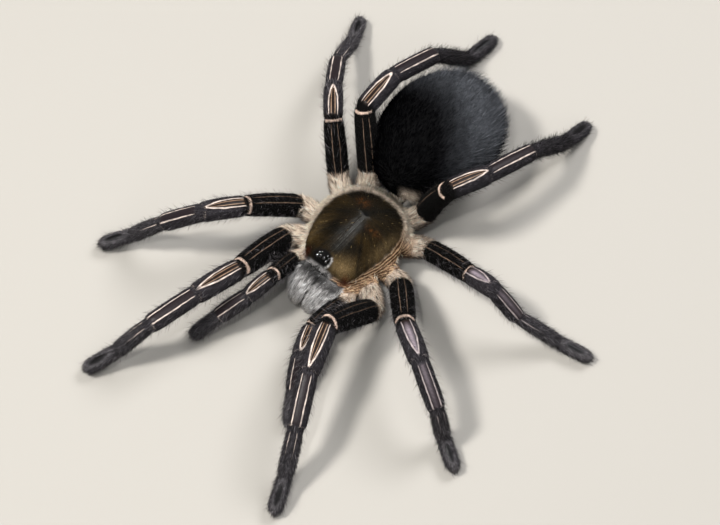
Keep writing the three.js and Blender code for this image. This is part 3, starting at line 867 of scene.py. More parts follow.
def grey_band(tint, x, y):
    """Adds the streaky grey band that runs from the fovea to the eyes, on a dark ground."""
    streak = 0.5 + 0.2 * sum(
        np.sin(x * turns + phase + 0.7 * np.sin(y * bend + phase)) for turns, phase, bend in BAND_STREAKS
    )
    band = peak(x - 0.25, np.interp(y, *BAND_WIDTH)) * (1 - smooth_step(y, 2.6, 3.3))
    tint = mixed(tint, DARK_OLIVE * 0.6, band * 0.7 * smooth_step(y, -8, -5))
    return mixed(tint, BAND_GREY, np.clip(streak, 0, 1) ** 1.5 * band ** 1.5 * np.interp(y, *BAND_GLOW))


def shade_furrows(tint, away):
    """Darkens the furrows and the fovea with painted shade; the fovea has a grey lip in front."""
    for angle, depth in FURROWS:
        ahead, off = beside_furrow(away, angle)
        dark = smooth_step(ahead, 0.5 * MM, 2.5 * MM) * peak(off, 0.25 * MM) * depth * 1.8
        tint = mixed(tint, EYE_PATCH, np.clip(dark, 0, 0.6))
    lip = np.exp(-((away[:, 0] / (0.9 * MM)) ** 2 + (away[:, 1] / (0.6 * MM)) ** 2)) * (away[:, 1] < 0)
    tint = mixed(tint, BAND_GREY, lip * 0.7)
    pit = np.exp(-((away[:, 0] / (0.8 * MM)) ** 4 + ((away[:, 1] - 0.1 * MM) / (0.42 * MM)) ** 4))
    return mixed(tint, EYE_PATCH, pit)


def surround_eyes(tint, x, ring):
    """Adds the black patch round the eyes, which a white crescent edges on its left."""
    leftward = smooth_step(x, -0.5, 1.5)
    tint = mixed(tint, EYE_PATCH, 1 - smooth_step(ring, 1.2 - 0.1 * leftward, 1.85 - 0.5 * leftward))
    return mixed(tint, WHITE, peak(ring - 1.12, 0.085) * smooth_step(x, 1.0, 1.4))


def pale_border(tint, points, y):
    """Adds the pale border, which is a thin grey line at the front, with painted shadow under the front
    edge, and says where the border is.
    """
    inset = inside_rim(points)
    front = smooth_step(-y, 8.0, 9.0)
    border = border_width(points) + 0.06 * ripple(points, 1.2 * MM, 15) * (1 - front)
    cream = 1 - smooth_step(inset, border * 0.6, border * 1.2)
    tint = mixed(tint, mixed(HIP_CREAM, SILVER * 0.55, front), cream)
    # painted shadow: nearly black just under the front edge of the carapace
    return mixed(tint, SILVER * 0.06, smooth_step(-inset, 0.05, 0.3) * front), cream


def comb_ridges(lie, ridged, away, normals):
    """Turns the hair along the left ridges where they show."""
    around = along_surface(np.cross(away, [0, 0, 1.0]), normals)
    return unit(lie * (1 - ridged)[:, None] + around * ridged[:, None])


def lay_back_hair(look, points, ring, cream, ridged):
    """The hair of the back: fine and flat, shorter round the eyes, longer and raised on the border."""
    away = points - FOVEA
    y = (points[:, 1] - CARAPACE.centre[1]) / MM
    look.width = 0.068 * MM
    look.length = (0.42 + 0.2 * smooth_step(np.hypot(away[:, 0], away[:, 1]), 1 * MM, 6 * MM)) * MM
    look.length = np.where(ring < 1.9, 0.3 * MM, look.length)
    look.length += cream * (0.05 + 0.7 * smooth_step(y, -9, -2)) * (1 - 0.8 * ridged) * MM
    look.lean = 13 + 27 * cream * (1 - ridged)
    under = points[:, 2] < RIM_HEIGHT - 0.6 * MM
    in_pit = (np.abs(away[:, 0]) < 0.75 * MM) & (np.abs(away[:, 1] - 0.1 * MM) < 0.4 * MM)
    look.density = np.where(ring < 0.95, 0.2, 62.0) * np.where(under, 0.3, 1) * np.where(in_pit, 0.05, 1)


def carapace_look(points, normals):
    """Olive velvet combed out from the fovea, a black patch round the eyes, a broad pale border."""
    look = plain_look(len(points))
    away = points - FOVEA
    x = (points[:, 0] - MOUND.centre[0]) / MM
    y = (points[:, 1] - CARAPACE.centre[1]) / MM
    from_mound = points - MOUND.centre
    ring = np.hypot(from_mound[:, 0] / (1.5 * MM), from_mound[:, 1] / (1.2 * MM))
    tint = shade_furrows(grey_band(back_velvet(points, x, y), x, y), away)
    tint, cream = pale_border(surround_eyes(tint, x, ring), points, y)
    ridged, ridges = left_ridges(points)
    tint = mixed(tint, ridges, ridged)
    corner = smooth_step(-y, 7.6, 9.0) * smooth_step(np.abs(x - 0.9), 3.6, 4.8)
    look.tint = mixed(tint, CORNER_RED, corner * 0.75)

    outward = np.column_stack([away[:, 0], away[:, 1], -0.15 * np.abs(away[:, 2])])
    look.lie = comb_ridges(along_surface(outward, normals), ridged, away, normals)
    lay_back_hair(look, points, ring, cream, ridged)
    look.u = 0.5 + 0.45 * x / 10
    look.v = 0.5 + 0.45 * y / 11
    return look


def chelicera_look(points, normals):
    """Long silver hair combed forward and down, with painted shade in the cleft between the lobes and at
    their roots under the carapace.
    """
    look = plain_look(len(points))
    x = (points[:, 0] - MIDDLE_X) / MM
    y = (points[:, 1] - CHELICERAE["left"].low[1]) / MM
    streak = ripple(points, 0.3 * MM, 21, (1, 14, 14))
    tint = mixed(SILVER * 0.2, SILVER, smooth_step(streak, -1.3, -0.5))
    # painted shade: the lobes darken toward their roots, under the front edge of the carapace
    root = smooth_step(y, 3.7, 5.9)
    tint = mixed(tint, SILVER * 0.035, root * (0.97 - 0.12 * smooth_step(x, 0.5, 3.0)))
    # painted shade in the cleft between the lobes
    tint = mixed(tint, CLEFT_SHADE, np.clip(peak(x + 0.1, 0.3) * 1.1, 0, 1))
    tint = mixed(tint, UNDER_BROWN, 1 - smooth_step(normals[:, 2], -0.3, 0.15))
    outer = smooth_step(x, 4.2, 5.0) * smooth_step(normals[:, 2], -0.4, 0.1)
    look.tint = mixed(tint, WHITE, outer * 0.9)
    combed = np.column_stack([-0.06 * x, np.full(len(x), -1.0), np.full(len(x), -0.35)])
    look.lie = along_surface(combed, normals)
    look.length, look.width, look.lean, look.density = 1.1 * MM, 0.085 * MM, 16.0, 48.0
    look.u = 0.5 + 0.45 * x / 6.5
    look.v = 0.05 + 0.4 * y / 9 + 0.45 * (normals[:, 2] < 0)
    return look


def abdomen_look(points, normals):
    """Jet-black velvet, combed back, with a painted grey sheen toward its left and rear edge."""
    look = plain_look(len(points))
    place = (points - ABDOMEN.centre) / ABDOMEN.half
    edge = np.hypot(place[:, 0], place[:, 1])
    # painted sheen: grey toward the rear and left edge, where velvet catches light at a grazing angle
    rearward = 0.3 * place[:, 0] + 0.7 * place[:, 1] + 0.35 * edge ** 2
    sheen = smooth_step(rearward, -0.1, 0.65) * smooth_step(place[:, 2], -0.1, 0.35)
    tone = tones(points, 3 * MM, 31, 0.4)
    tint = mixed(VELVET_BLACK * 0.8, VELVET_BLACK * 1.3, tone)
    tint = mixed(tint, SHEEN_GREY, (0.48 + 0.2 * tone) * sheen)
    waist = smooth_step(-place[:, 1], 0.78, 0.9) * smooth_step(place[:, 0], 0.12, 0.3)
    look.tint = mixed(tint, HIP_CREAM, waist * smooth_step(-place[:, 2], -0.25, 0.05))
    look.lie = along_surface(np.array([0.0, 1.0, -0.12]), normals)
    look.length, look.width, look.density = 1.0 * MM, 0.09 * MM, 20.0
    look.lean = 13 + 14 * smooth_step(edge, 0.7, 1)
    look.u = 0.5 + 0.48 * (np.arctan2(place[:, 2], place[:, 0]) / math.pi)
    look.v = 0.02 + 0.96 * np.clip((place[:, 1] + 1) / 2, 0, 1)
    return look


def sternum_look(points, normals):
    """Dark brown velvet below, pale hair where the body shows from above."""
    look = plain_look(len(points))
    velvet_brown = mixed(UNDER_BLACK, UNDER_BROWN, tones(points, 1.5 * MM, 51, 0.4))
    look.tint = mixed(velvet_brown, HIP_CREAM, smooth_step(normals[:, 2], -0.1, 0.4))
    outward = points - np.array([MIDDLE_X, CARAPACE.centre[1], points[:, 2].mean()])
    outward[:, 2] = 0
    look.lie = along_surface(unit(outward), normals)
    look.length, look.density = 1.1 * MM, 22.0
    unwrap_from_above(look, points)
    return look


def spinneret_look(points, normals, side):
    """Dark grey velvet, combed back."""
    look = plain_look(len(points))
    look.tint = mixed(VELVET_BLACK, LEG_GREY, np.full(len(points), 0.25))
    look.lie = along_surface(np.array([0.0, 1.0, 0.0]), normals)
    look.length, look.density = 0.7 * MM, 40.0
    look.u = 0.25 + 0.5 * side + 0.2 * np.clip((points[:, 0] - ABDOMEN.centre[0]) / (3 * MM), -1, 1)
    look.v = 0.05 + 0.9 * np.clip((points[:, 1] - ABDOMEN.high[1] + 4 * MM) / (10 * MM), 0, 1)
    return look


def hip_look(points, normals, limb):
    """Fluffy cream hair on the coxae, with dark brown painted shade between its strands, in the clefts
    between the coxae and below.
    """
    look = limb_look(points, normals, limb)
    at = limb_place(limb, points)
    strand = ripple(np.column_stack([at.across, 0.2 * at.along * at.length, at.rise]), 0.55 * MM, 19)
    fluff = mixed(HIP_CREAM, HIP_BROWN, tones(points, 1.1 * MM, 14, 0.5) * 0.36)
    # painted shade in the gaps between strands of hair
    fluff = mixed(fluff, HIP_SHADE, smooth_step(strand, 0.35, 1.1) * 0.8)
    # painted shade in the clefts between the coxae and on their undersides
    beside = smooth_step(np.abs(at.across) / at.radius, 0.6, 0.9)
    cleft = np.maximum(beside, smooth_step(-normals[:, 2], -0.4, 0.2))
    ridged, ridges = left_ridges(points)
    look.tint = mixed(mixed(fluff, HIP_SHADE, cleft * 0.9), ridges, ridged)
    look.line = look.half_line = NO_LINE
    look.lie = comb_ridges(look.lie, ridged, points - FOVEA, normals)
    look.lean = np.where(ridged > 0.5, 8.0, look.lean)
    look.length = 1.5 * MM - 0.5 * MM * ridged
    look.width, look.density = 0.11 * MM, 30.0
    unwrap_from_above(look, points)
    return look


BODY_LOOKS = {
    "carapace": carapace_look, "chelicera": chelicera_look,
    "abdomen": abdomen_look, "sternum": sternum_look,
}


def part_look(kind, points, normals, owner, fine):
    """How points on one kind of flesh look, where owner is the number of its limb or side."""
    if kind == "limb":
        return limb_look(points, normals, LIMBS[owner], fine)
    if kind == "hip":
        return hip_look(points, normals, LIMBS[owner])
    if kind == "spinneret":
        return spinneret_look(points, normals, owner)
    return BODY_LOOKS[kind](points, normals)


def look_at(points, normals, kinds, owners, fine=0.0):
    """How every point looks, whatever kind of flesh it is on."""
    whole = plain_look(len(points))
    for kind, owner in sorted(set(zip(kinds.tolist(), owners.tolist()))):
        here = (kinds == kind) & (owners == owner)
        part = part_look(KINDS[kind], points[here], normals[here], owner, fine)
        for name, values in vars(part).items():
            getattr(whole, name)[here] = values
    return whole


def paint_skin(skin, kinds, owners):
    look = look_at(places_of(skin), normals_of(skin), kinds, owners)
    # painted shade: skin that hair covers is darkened, as if shaded by the hair
    look.tint = look.tint * np.where(look.bare > 0.5, 1, UNDER_HAIR_SHADE)[:, None]
    for name, colours in (("tint", look.tint), ("pale", look.pale)):
        layer = skin.data.attributes.new(name, "FLOAT_COLOR", "POINT")
        layer.data.foreach_set("color", np.column_stack([colours, np.ones(len(colours))]).ravel())
    marks = {
        "line": look.line / MM, "beside": look.beside / MM, "half_line": look.half_line / MM,
        "place": look.place, "bare": look.bare,
    }
    for name, values in marks.items():
        skin.data.attributes.new(name, "FLOAT", "POINT").data.foreach_set("value", values)


# ---- the coat ----
SPIKE_FACES = np.array([(0, 2, 1), (0, 1, 3), (1, 2, 3), (2, 0, 3)])
BRISTLE_FACES = np.array([
    (0, 2, 1), (0, 1, 4), (0, 4, 3), (1, 2, 5), (1, 5, 4),
    (2, 0, 3), (2, 3, 5), (3, 4, 6), (4, 5, 6), (5, 3, 6),
])
SPIKE_PATCH = np.array([(0, 0), (1, 0), (0, 1), (1, 1)]) - 0.5
BRISTLE_PATCH = np.array([(0, 0), (1, 0), (0, 1), (0.4, 0.1), (0.6, 0.5), (0.3, 0.8), (1, 1)]) - 0.5
TUFT_PATCH = 0.003  # the width of a hair's patch on the unwrap
ROOT_DEPTH = 0.05 * MM  # how deep in the skin a hair starts
CLUMP_SIZE = 0.9 * MM
ABOVE_FLOOR = 0.02 * MM  # no hair reaches lower
BRIGHTEST = 0.92  # no hair sends back a greater share of light


def triangles_of(skin):
    skin.data.calc_loop_triangles()
    corners = np.empty(len(skin.data.loop_triangles) * 3, dtype=np.int32)
    skin.data.loop_triangles.foreach_get("vertices", corners)
    return corners.reshape(-1, 3)


class Ground:
    """The skin as the coat's ground: where hair can root, and how it looks there."""

    def __init__(self, skin, kinds, owners):
        self.places = places_of(skin)
        self.normals = normals_of(skin)
        self.faces = triangles_of(skin)
        self.kinds = kinds[self.faces[:, 0]]
        self.owners = owners[self.faces[:, 0]]
        a, b, c = (self.places[self.faces[:, k]] for k in range(3))
        self.areas = np.linalg.norm(np.cross(b - a, c - a), axis=1) / 2
        self.middles = (a + b + c) / 3
        facing = unit(self.normals[self.faces].sum(axis=1))
        self.look = look_at(self.middles, facing, self.kinds, self.owners)

    def on(self, *names):
        """Which faces are on some kinds of flesh."""
        return np.isin(self.kinds, [KINDS.index(name) for name in names])

    def on_limb(self, owner):
        return self.on("limb") & (self.owners == owner)

    def roots(self, chosen, count, weights):
        """Random places on the chosen faces, more where the weights are greater."""
        faces = np.flatnonzero(chosen)
        share = self.areas[faces] * weights[faces]
        picked = faces[rng.choice(len(faces), size=count, p=share / share.sum())]
        first, second = rng.random((2, count, 1))
        over = first + second > 1
        first, second = np.where(over, 1 - first, first), np.where(over, 1 - second, second)
        corners = self.faces[picked]
        mix = (1 - first - second, first, second)
        place = sum(self.places[corners[:, k]] * mix[k] for k in range(3))
        normal = unit(sum(self.normals[corners[:, k]] * mix[k] for k in range(3)))
        return place, normal, look_at(place, normal, self.kinds[picked], self.owners[picked], 1.0)


def corners_round(middle, ahead, radius, turn):
    """Three corners round a point, square to a heading."""
    side = unit(np.cross(ahead, [0.31, 0.22, 0.92]))
    other = np.cross(ahead, side)
    rows = []
    for k in range(3):
        angle = (turn + k * 2 * math.pi / 3)[:, None]
        rows.append(middle + radius[:, None] * (np.cos(angle) * side + np.sin(angle) * other))
    return rows


def spikes(root, ahead, look):
    """Short straight hairs: each is a slim closed spike of four faces."""
    turn = rng.uniform(0, 2 * math.pi, len(root))
    rows = corners_round(root, ahead, look.width / 2, turn)
    rows.append(root + ahead * look.length[:, None])
    return np.stack(rows, axis=1)


def bristles(root, ahead, look, droop):
    """Long hairs that bend halfway, each a closed spike of ten faces."""
    turn = rng.uniform(0, 2 * math.pi, len(root))
    rows = corners_round(root, ahead, look.width / 2, turn)
    knee = root + ahead * (look.length * 0.5)[:, None]
    bent = unit(ahead + droop)
    rows += corners_round(knee, unit(ahead + bent), look.width * 0.36, turn)
    rows.append(knee + bent * (look.length * 0.5)[:, None])
    return np.stack(rows, axis=1)


def coat_piece(name, hairs, faces, patch, look, tints, root_shade):
    """One mesh of many like hairs, each darkened toward its root with painted shade, with one small patch
    of the unwrap.
    """
    count, corners = hairs.shape[:2]
    hairs[:, :, 2] = np.maximum(hairs[:, :, 2], ABOVE_FLOOR)
    index = (faces[None] + (np.arange(count) * corners)[:, None, None]).reshape(-1, 3)
    mesh = bpy.data.meshes.new(name)
    mesh.vertices.add(count * corners)
    mesh.vertices.foreach_set("co", hairs.ravel())
    mesh.loops.add(index.size)
    mesh.loops.foreach_set("vertex_index", index.ravel().astype(np.int32))
    mesh.polygons.add(len(index))
    mesh.polygons.foreach_set("loop_start", np.arange(0, index.size, 3, dtype=np.int32))
    mesh.polygons.foreach_set("use_smooth", np.ones(len(index), dtype=bool))
    roots = np.column_stack([look.u, look.v])
    places = (roots[:, None] + patch[None] * TUFT_PATCH).reshape(-1, 2)
    mesh.uv_layers.new(name="OFBake").data.foreach_set("uv", places[index.ravel()].ravel())
    # painted shade: each hair darkens from its tip to root_shade at its root
    shade = np.linspace(root_shade, 1, (corners - 1) // 3 + 1).repeat(3)[:corners]
    colours = np.ones((count, corners, 4))
    colours[:, :, :3] = tints[:, None] * shade[None, :, None]
    mesh.attributes.new("tint", "FLOAT_COLOR", "POINT").data.foreach_set("color", colours.ravel())
    mesh.update(calc_edges=True)
    piece = bpy.data.objects.new(name, mesh)
    bpy.context.collection.objects.link(piece)
    return piece


def hair_tints(look, contrast, flecks, dark):
    """Each hair's colour: the marking's, a little lighter or darker by chance. Flecks is the
    share of single hairs that shine golden, and dark the share that is nearly black."""
    tint = mixed(look.tint, look.pale, smooth_step(look.line, -0.02 * MM, 0.05 * MM))
    swing = np.where(look.line > 0, 0.3, 1.0) * contrast
    swing = swing * (1 - 0.5 * smooth_step(tint.mean(axis=1), 0.2, 0.8))
    chance = swing * (rng.normal(0, 1, len(tint)) + 0.6 * look.clump)
    tint = np.clip(tint * np.exp(chance - swing ** 2 / 2)[:, None], 0, BRIGHTEST)
    tint = np.where((rng.random(len(tint)) < dark)[:, None], tint * 0.1, tint)
    return np.where((rng.random(len(tint)) < flecks)[:, None], FLECK_GOLD, tint)


def headings(look, normal, spread):
    """The way each hair points: along the lie, raised by its lean, and a little astray."""
    lean = np.radians(look.lean * rng.uniform(0.6, 1.4, len(normal)))
    stray = along_surface(rng.normal(size=normal.shape), normal)
    stray = stray * rng.normal(0, spread, len(normal))[:, None]
    sideways = np.cross(normal, look.lie) * (0.16 * look.clump)[:, None]
    straight = np.where(look.line > 0, 0.25, 1.0)[:, None]
    flat = unit(look.lie + (stray + sideways) * straight)
    return unit(flat * np.cos(lean)[:, None] + normal * np.sin(lean)[:, None])


def velvet(name, ground, chosen, count, contrast, spread, clumps, root_shade=0.7, flecks=0.0):
    """Short hair that covers the chosen faces as thickly as their markings say."""
    root, normal, look = ground.roots(chosen, count, ground.look.density)
    look.length = look.length * rng.uniform(0.65, 1.25, count)
    look.clump = clumps * ripple(root, CLUMP_SIZE, 77)
    ahead = headings(look, normal, spread)
    hairs = spikes(root - normal * ROOT_DEPTH, ahead, look)
    tints = hair_tints(look, contrast, flecks, 0.0)
    return coat_piece(name, hairs, SPIKE_FACES, SPIKE_PATCH, look, tints, root_shade)


def long_hair(name, ground, chosen, count, weights, length, width, lean, contrast, spread, tint=None,
              droop=0.0, root_shade=0.6, dark=0.0):
    """Long thin hairs that stand out of the velvet, in their own tint or in that of the markings."""
    root, normal, look = ground.roots(chosen, count, weights)
    look.length = length * rng.uniform(0.6, 1.2, count)
    look.width = np.full(count, width)
    look.lean = np.full(count, float(lean))
    look.clump = ripple(root, CLUMP_SIZE, 78)
    look.line = np.full(count, NO_LINE)
    if tint is not None:
        look.tint = np.tile(tint, (count, 1))
    ahead = headings(look, normal, spread)
    bend = look.lie * 0.35 - np.array([0, 0, droop])
    hairs = bristles(root - normal * ROOT_DEPTH, ahead, look, bend)
    tints = hair_tints(look, contrast, 0.0, dark)
    return coat_piece(name, hairs, BRISTLE_FACES, BRISTLE_PATCH, look, tints, root_shade)


# ---- materials ----
WORN_PATCHES, SKIN_GRAINS = 800, 4200  # for each metre of skin
HAIRY_ROUGHNESS, BARE_ROUGHNESS = 0.9, 0.36
SKIN_GLOSS = 0.12
STREAK_EDGE = (0.04, 0.14)  # where the golden streaks fade, from their middle
LINE_EDGE = (-0.03, 0.05)  # how far inside the pale lines fade in, in millimetres


def new_material(name):
    material = bpy.data.materials.new(name)
    material.use_nodes = True
    tree = material.node_tree
    return material, tree, tree.nodes["Principled BSDF"]


def attribute_node(tree, name, output="Fac"):
    node = tree.nodes.new("ShaderNodeAttribute")
    node.attribute_name = name
    return node.outputs[output]


def math_node(tree, operation, *values):
    node = tree.nodes.new("ShaderNodeMath")
    node.operation = operation
    for socket, value in zip(node.inputs, values):
        if isinstance(value, float):
            socket.default_value = value
        else:
            tree.links.new(value, socket)
    return node.outputs["Value"]


def ramp_node(tree, value, low, high, at_low=0.0, at_high=1.0):
    node = tree.nodes.new("ShaderNodeMapRange")
    for name, number in (("From Min", low), ("From Max", high), ("To Min", at_low), ("To Max", at_high)):
        node.inputs[name].default_value = number
    tree.links.new(value, node.inputs["Value"])
    return node.outputs["Result"]


def noise_node(tree, spot, scale, detail):
    node = tree.nodes.new("ShaderNodeTexNoise")
    node.inputs["Scale"].default_value = scale
    node.inputs["Detail"].default_value = detail
    tree.links.new(spot, node.inputs["Vector"])
    return node.outputs["Fac"]


def mix_node(tree, share, first, second):
    node = tree.nodes.new("ShaderNodeMix")
    node.data_type = "RGBA"
    tree.links.new(share, node.inputs["Factor"])
    tree.links.new(first, node.inputs["A"])
    if isinstance(second, tuple):
        node.inputs["B"].default_value = second
    else:
        tree.links.new(second, node.inputs["B"])
    return node.outputs["Result"]


def on_golden_streak(tree):
    """1 on the golden streaks of the knees, which have soft edges."""
    place = attribute_node(tree, "place")
    off = [math_node(tree, "ABSOLUTE", math_node(tree, "SUBTRACT", place, at)) for at in STREAKS]
    return ramp_node(tree, math_node(tree, "MINIMUM", *off), *STREAK_EDGE, 1.0, 0.0)


def on_pale_line(tree):
    """1 on the pale lines and edges of the limbs, by how far inside a line a place is in millimetres."""
    beside = math_node(tree, "ABSOLUTE", attribute_node(tree, "beside"))
    inside = math_node(tree, "SUBTRACT", attribute_node(tree, "half_line"), beside)
    inside = math_node(tree, "MAXIMUM", attribute_node(tree, "line"), inside)
    return ramp_node(tree, inside, *LINE_EDGE)


def add_skin_grain(tree, shader, spot):
    """A fine leathery grain."""
    grain = tree.nodes.new("ShaderNodeBump")
    grain.inputs["Strength"].default_value = 0.35
    grain.inputs["Distance"].default_value = 0.1 * MM
    tree.links.new(noise_node(tree, spot, SKIN_GRAINS, 3), grain.inputs["Height"])
    tree.links.new(grain.outputs["Normal"], shader.inputs["Normal"])


def skin_material():
    """The skin: each marking's colour, pale lines and golden streaks worn thin in places, and gloss
    where it is bare."""
    material, tree, shader = new_material("spider_skin")
    spot = tree.nodes.new("ShaderNodeTexCoord").outputs["Object"]
    worn = ramp_node(tree, noise_node(tree, spot, WORN_PATCHES, 2), 0.35, 0.6, 0.5, 1.0)
    tint, pale = (attribute_node(tree, name, "Color") for name in ("tint", "pale"))
    golden = math_node(tree, "MULTIPLY", on_golden_streak(tree), worn)
    lined = math_node(tree, "MULTIPLY", on_pale_line(tree), worn)
    colour = mix_node(tree, lined, mix_node(tree, golden, tint, (*KNEE_GOLD, 1)), pale)
    tree.links.new(colour, shader.inputs["Base Color"])
    roughness = ramp_node(tree, attribute_node(tree, "bare"), 0.0, 1.0, HAIRY_ROUGHNESS, BARE_ROUGHNESS)
    tree.links.new(roughness, shader.inputs["Roughness"])
    shader.inputs["Specular IOR Level"].default_value = SKIN_GLOSS
    add_skin_grain(tree, shader, spot)
    return material


def hair_material(name, roughness, gloss):
    material, tree, shader = new_material(name)
    tree.links.new(attribute_node(tree, "tint", "Color"), shader.inputs["Base Color"])
    shader.inputs["Roughness"].default_value = roughness
    shader.inputs["Specular IOR Level"].default_value = gloss
    return material


def plain_material(name, colour, roughness, coat=0.0, ior=1.5):
    material, _, shader = new_material(name)
    shader.inputs["Base Color"].default_value = (*colour, 1)
    shader.inputs["Roughness"].default_value = roughness
    shader.inputs["Coat Weight"].default_value = coat
    shader.inputs["IOR"].default_value = ior
    return material


def give(piece, material):
    piece.data.materials.clear()
    piece.data.materials.append(material)


# ---- eyes, fangs and claws ----
# Each eye of one side: across, along and up from their seat on the mound, and radius, in millimetres.
EYES = (
    (0.42, -0.35, 0.74, 0.36), (1.05, -0.52, 0.36, 0.36),
    (1.08, 0.22, 0.36, 0.32), (0.66, 0.45, 0.6, 0.26),
)
EYE_SEAT = np.array([MOUND.centre[0], MOUND.centre[1], CARAPACE.high[2] - 0.75 * MM])


def smooth_join(name, pieces):
    piece = join(name, pieces)
    bpy.ops.object.shade_smooth()
    return piece


def eyes_piece():
    eyes = []
    for across, along, up, radius in EYES:
        for mirror in SIDES.values():
            centre = EYE_SEAT + np.array([mirror * across, along, up]) * MM
            eyes.append(add_oval("eye", centre, radius * MM, 20, 12))
    return smooth_join("eyes", eyes)


def horn_form(name, root, heading, bend, length, thick, sides, rings):
    """A curved horn: a ball drawn out to a point that bends over as it goes."""
    piece = add_ball(name, sides, rings)
    ball = places_of(piece)
    along = (ball[:, 2] + 1) / 2
    heading = unit(np.array(heading))
    side = unit(np.cross(heading, [0.1, 0.2, 0.97]))
    other = np.cross(side, heading)
    radius = thick * (1 - along) ** 0.6 * blunt_end(np.clip(-ball[:, 2], 0, 1), 6)
    around = round_z(ball)
    spine = root + (along * length)[:, None] * heading + ((along ** 2) * length)[:, None] * np.array(bend)
    ring = around[:, :1] * radius[:, None] * side + around[:, 1:] * radius[:, None] * other
    move_to(piece, spine + ring)
    return piece


def fangs_piece():
    fangs = []
    for side in SIDES:
        box = box_of(f"fang_{side}")
        root = np.array([box.centre[0], box.low[1] - 0.1 * MM, box.high[2] - 0.9 * MM])
        heading, bend, length = (0, 1, -0.02), (0, 0, -0.22), 2 * box.half[1]
        fangs.append(horn_form(f"fang_{side}", root, heading, bend, length, 0.95 * MM, 14, 16))
    return smooth_join("fangs", fangs)


def claws_piece():
    """Two small claws on the toe of each leg, and one on each palp."""
    claws = []
    for limb in LIMBS:
        ahead, aside = limb.ahead[-1], limb.aside[-1]
        level = unit(ahead * np.array([1, 1, 0]))
        for mirror in (0,) if limb.is_palp else (1, -1):
            root = limb.ends[-1] + ahead * 0.2 * MM + aside * mirror * 0.3 * MM
            root[2] = max(root[2], 0.75 * MM)
            claws.append(horn_form("claw", root, level, (0, 0, -0.5), 0.7 * MM, 0.12 * MM, 8, 8))
    claws = smooth_join("claws", claws)
    places = places_of(claws)
    places[:, 2] = np.maximum(places[:, 2], 0.03 * MM)
    move_to(claws, places)
    return claws


# ---- floor and light ----
LIGHTS = (  # name, place, width across, power and colour
    ("key_light", (-0.24, -0.26, 0.68), 0.12, 6.4, (1, 0.98, 0.95)),
    ("fill_light", (0.4, -0.2, 0.6), 0.5, 1.1, (1, 1, 1)),
    ("rear_light", (0.05, 0.42, 0.52), 0.3, 3.6, (0.98, 0.98, 1)),
    ("eye_light", (0.05, -0.15, 0.5), 0.02, 0.8, (1, 1, 1)),
)
ROOM_COLOUR, ROOM_BRIGHTNESS = (0.8, 0.85, 0.9, 1), 0.17


def add_floor():
    bpy.ops.object.select_all(action="DESELECT")
    bpy.ops.mesh.primitive_plane_add(size=3, location=(0, 0, 0))
    floor = bpy.context.object
    floor.name = "floor"
    give(floor, plain_material("pale_floor", linear(164, 160, 153), 0.85))


def add_light(name, place, size, power, colour):
    """A round soft light that shines at the middle of the floor."""
    data = bpy.data.lights.new(name, "AREA")
    data.shape = "DISK"
    data.size = size
    data.energy = power
    data.color = colour
    light = bpy.data.objects.new(name, data)
    light.location = place
    light.rotation_euler = Vector(place).to_track_quat("Z", "Y").to_euler()
    bpy.context.collection.objects.link(light)


def add_room_light():
    world = bpy.data.worlds.new("soft_room")
    bpy.context.scene.world = world
    world.use_nodes = True
    world.node_tree.nodes["Background"].inputs["Color"].default_value = ROOM_COLOUR
    world.node_tree.nodes["Background"].inputs["Strength"].default_value = ROOM_BRIGHTNESS
    bpy.context.scene.view_settings.view_transform = "Standard"


# ---- putting it together ----
def add_piece(piece, material, slot, *stands_for):
    """Gives a piece its finish, hangs it under the root, and hides the nodes it stands for."""
    give(piece, material)
    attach(piece, "root")
    if stands_for:
        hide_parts(*stands_for)


def add_velvet(name, ground, chosen, count, finish, slot, **style):
    add_piece(velvet(name, ground, chosen, int(count * SHARE), **style), finish, slot)


def add_long_hair(name, ground, chosen, count, weights, finish, slot, **style):
    add_piece(long_hair(name, ground, chosen, int(count * SHARE), weights, **style), finish, slot)


def cover_with_velvet(ground):
    """The short coat, all over."""
    add_velvet("coat_abdomen", ground, ground.on("abdomen", "spinneret"), 44000, JET_HAIR, "black_coat",
               contrast=0.25, spread=0.16, clumps=0.4)
    add_velvet("coat_carapace", ground, ground.on("carapace"), 37000, OLIVE_HAIR, "olive_coat",
               contrast=0.42, spread=0.14, clumps=0.4, flecks=0.004)
    add_velvet("coat_chelicerae", ground, ground.on("chelicera"), 12000, SILVER_HAIR, "silver_coat",
               contrast=0.5, spread=0.16, clumps=0.3, root_shade=0.8)
    add_velvet("coat_hips", ground, ground.on("hip", "sternum"), 28000, PALE_HAIR, "pale_coat",
               contrast=0.45, spread=0.25, clumps=0.9, root_shade=0.65)
    for owner, limb in enumerate(LIMBS):
        count = 11500 if limb.is_palp else 20000
        add_velvet(f"coat_{limb.name}", ground, ground.on_limb(owner), count, BLACK_HAIR, "black_coat",
                   contrast=0.6, spread=0.18, clumps=0.5, root_shade=0.6)


def comb_chelicerae(ground):
    """Long silver hair combed forward and down over the lobes, and a white fringe at their outer edges."""
    weights = smooth_step(ground.look.tint.sum(axis=1), 0.1, 1.2) + 0.1
    add_long_hair("combed_chelicerae", ground, ground.on("chelicera"), 6600, weights,
                  SILVER_HAIR, "silver_coat", length=1.8 * MM, width=0.1 * MM, lean=13,
                  contrast=0.4, spread=0.12, droop=0.1, root_shade=0.8, dark=0.15)
    x = (ground.middles[:, 0] - MIDDLE_X) / MM
    ahead = CARAPACE.low[1] - ground.middles[:, 1]
    edge = peak(np.abs(x) - 4.7, 0.4) * smooth_step(ahead, 0.8 * MM, 2 * MM)
    add_long_hair("fringe_chelicerae", ground, ground.on("chelicera"), 1100, edge + 0.001,
                  SILVER_HAIR, "silver_coat", length=1.5 * MM, width=0.09 * MM, lean=38,
                  contrast=0.25, spread=0.2, tint=WHITE, droop=0.1, root_shade=0.7)


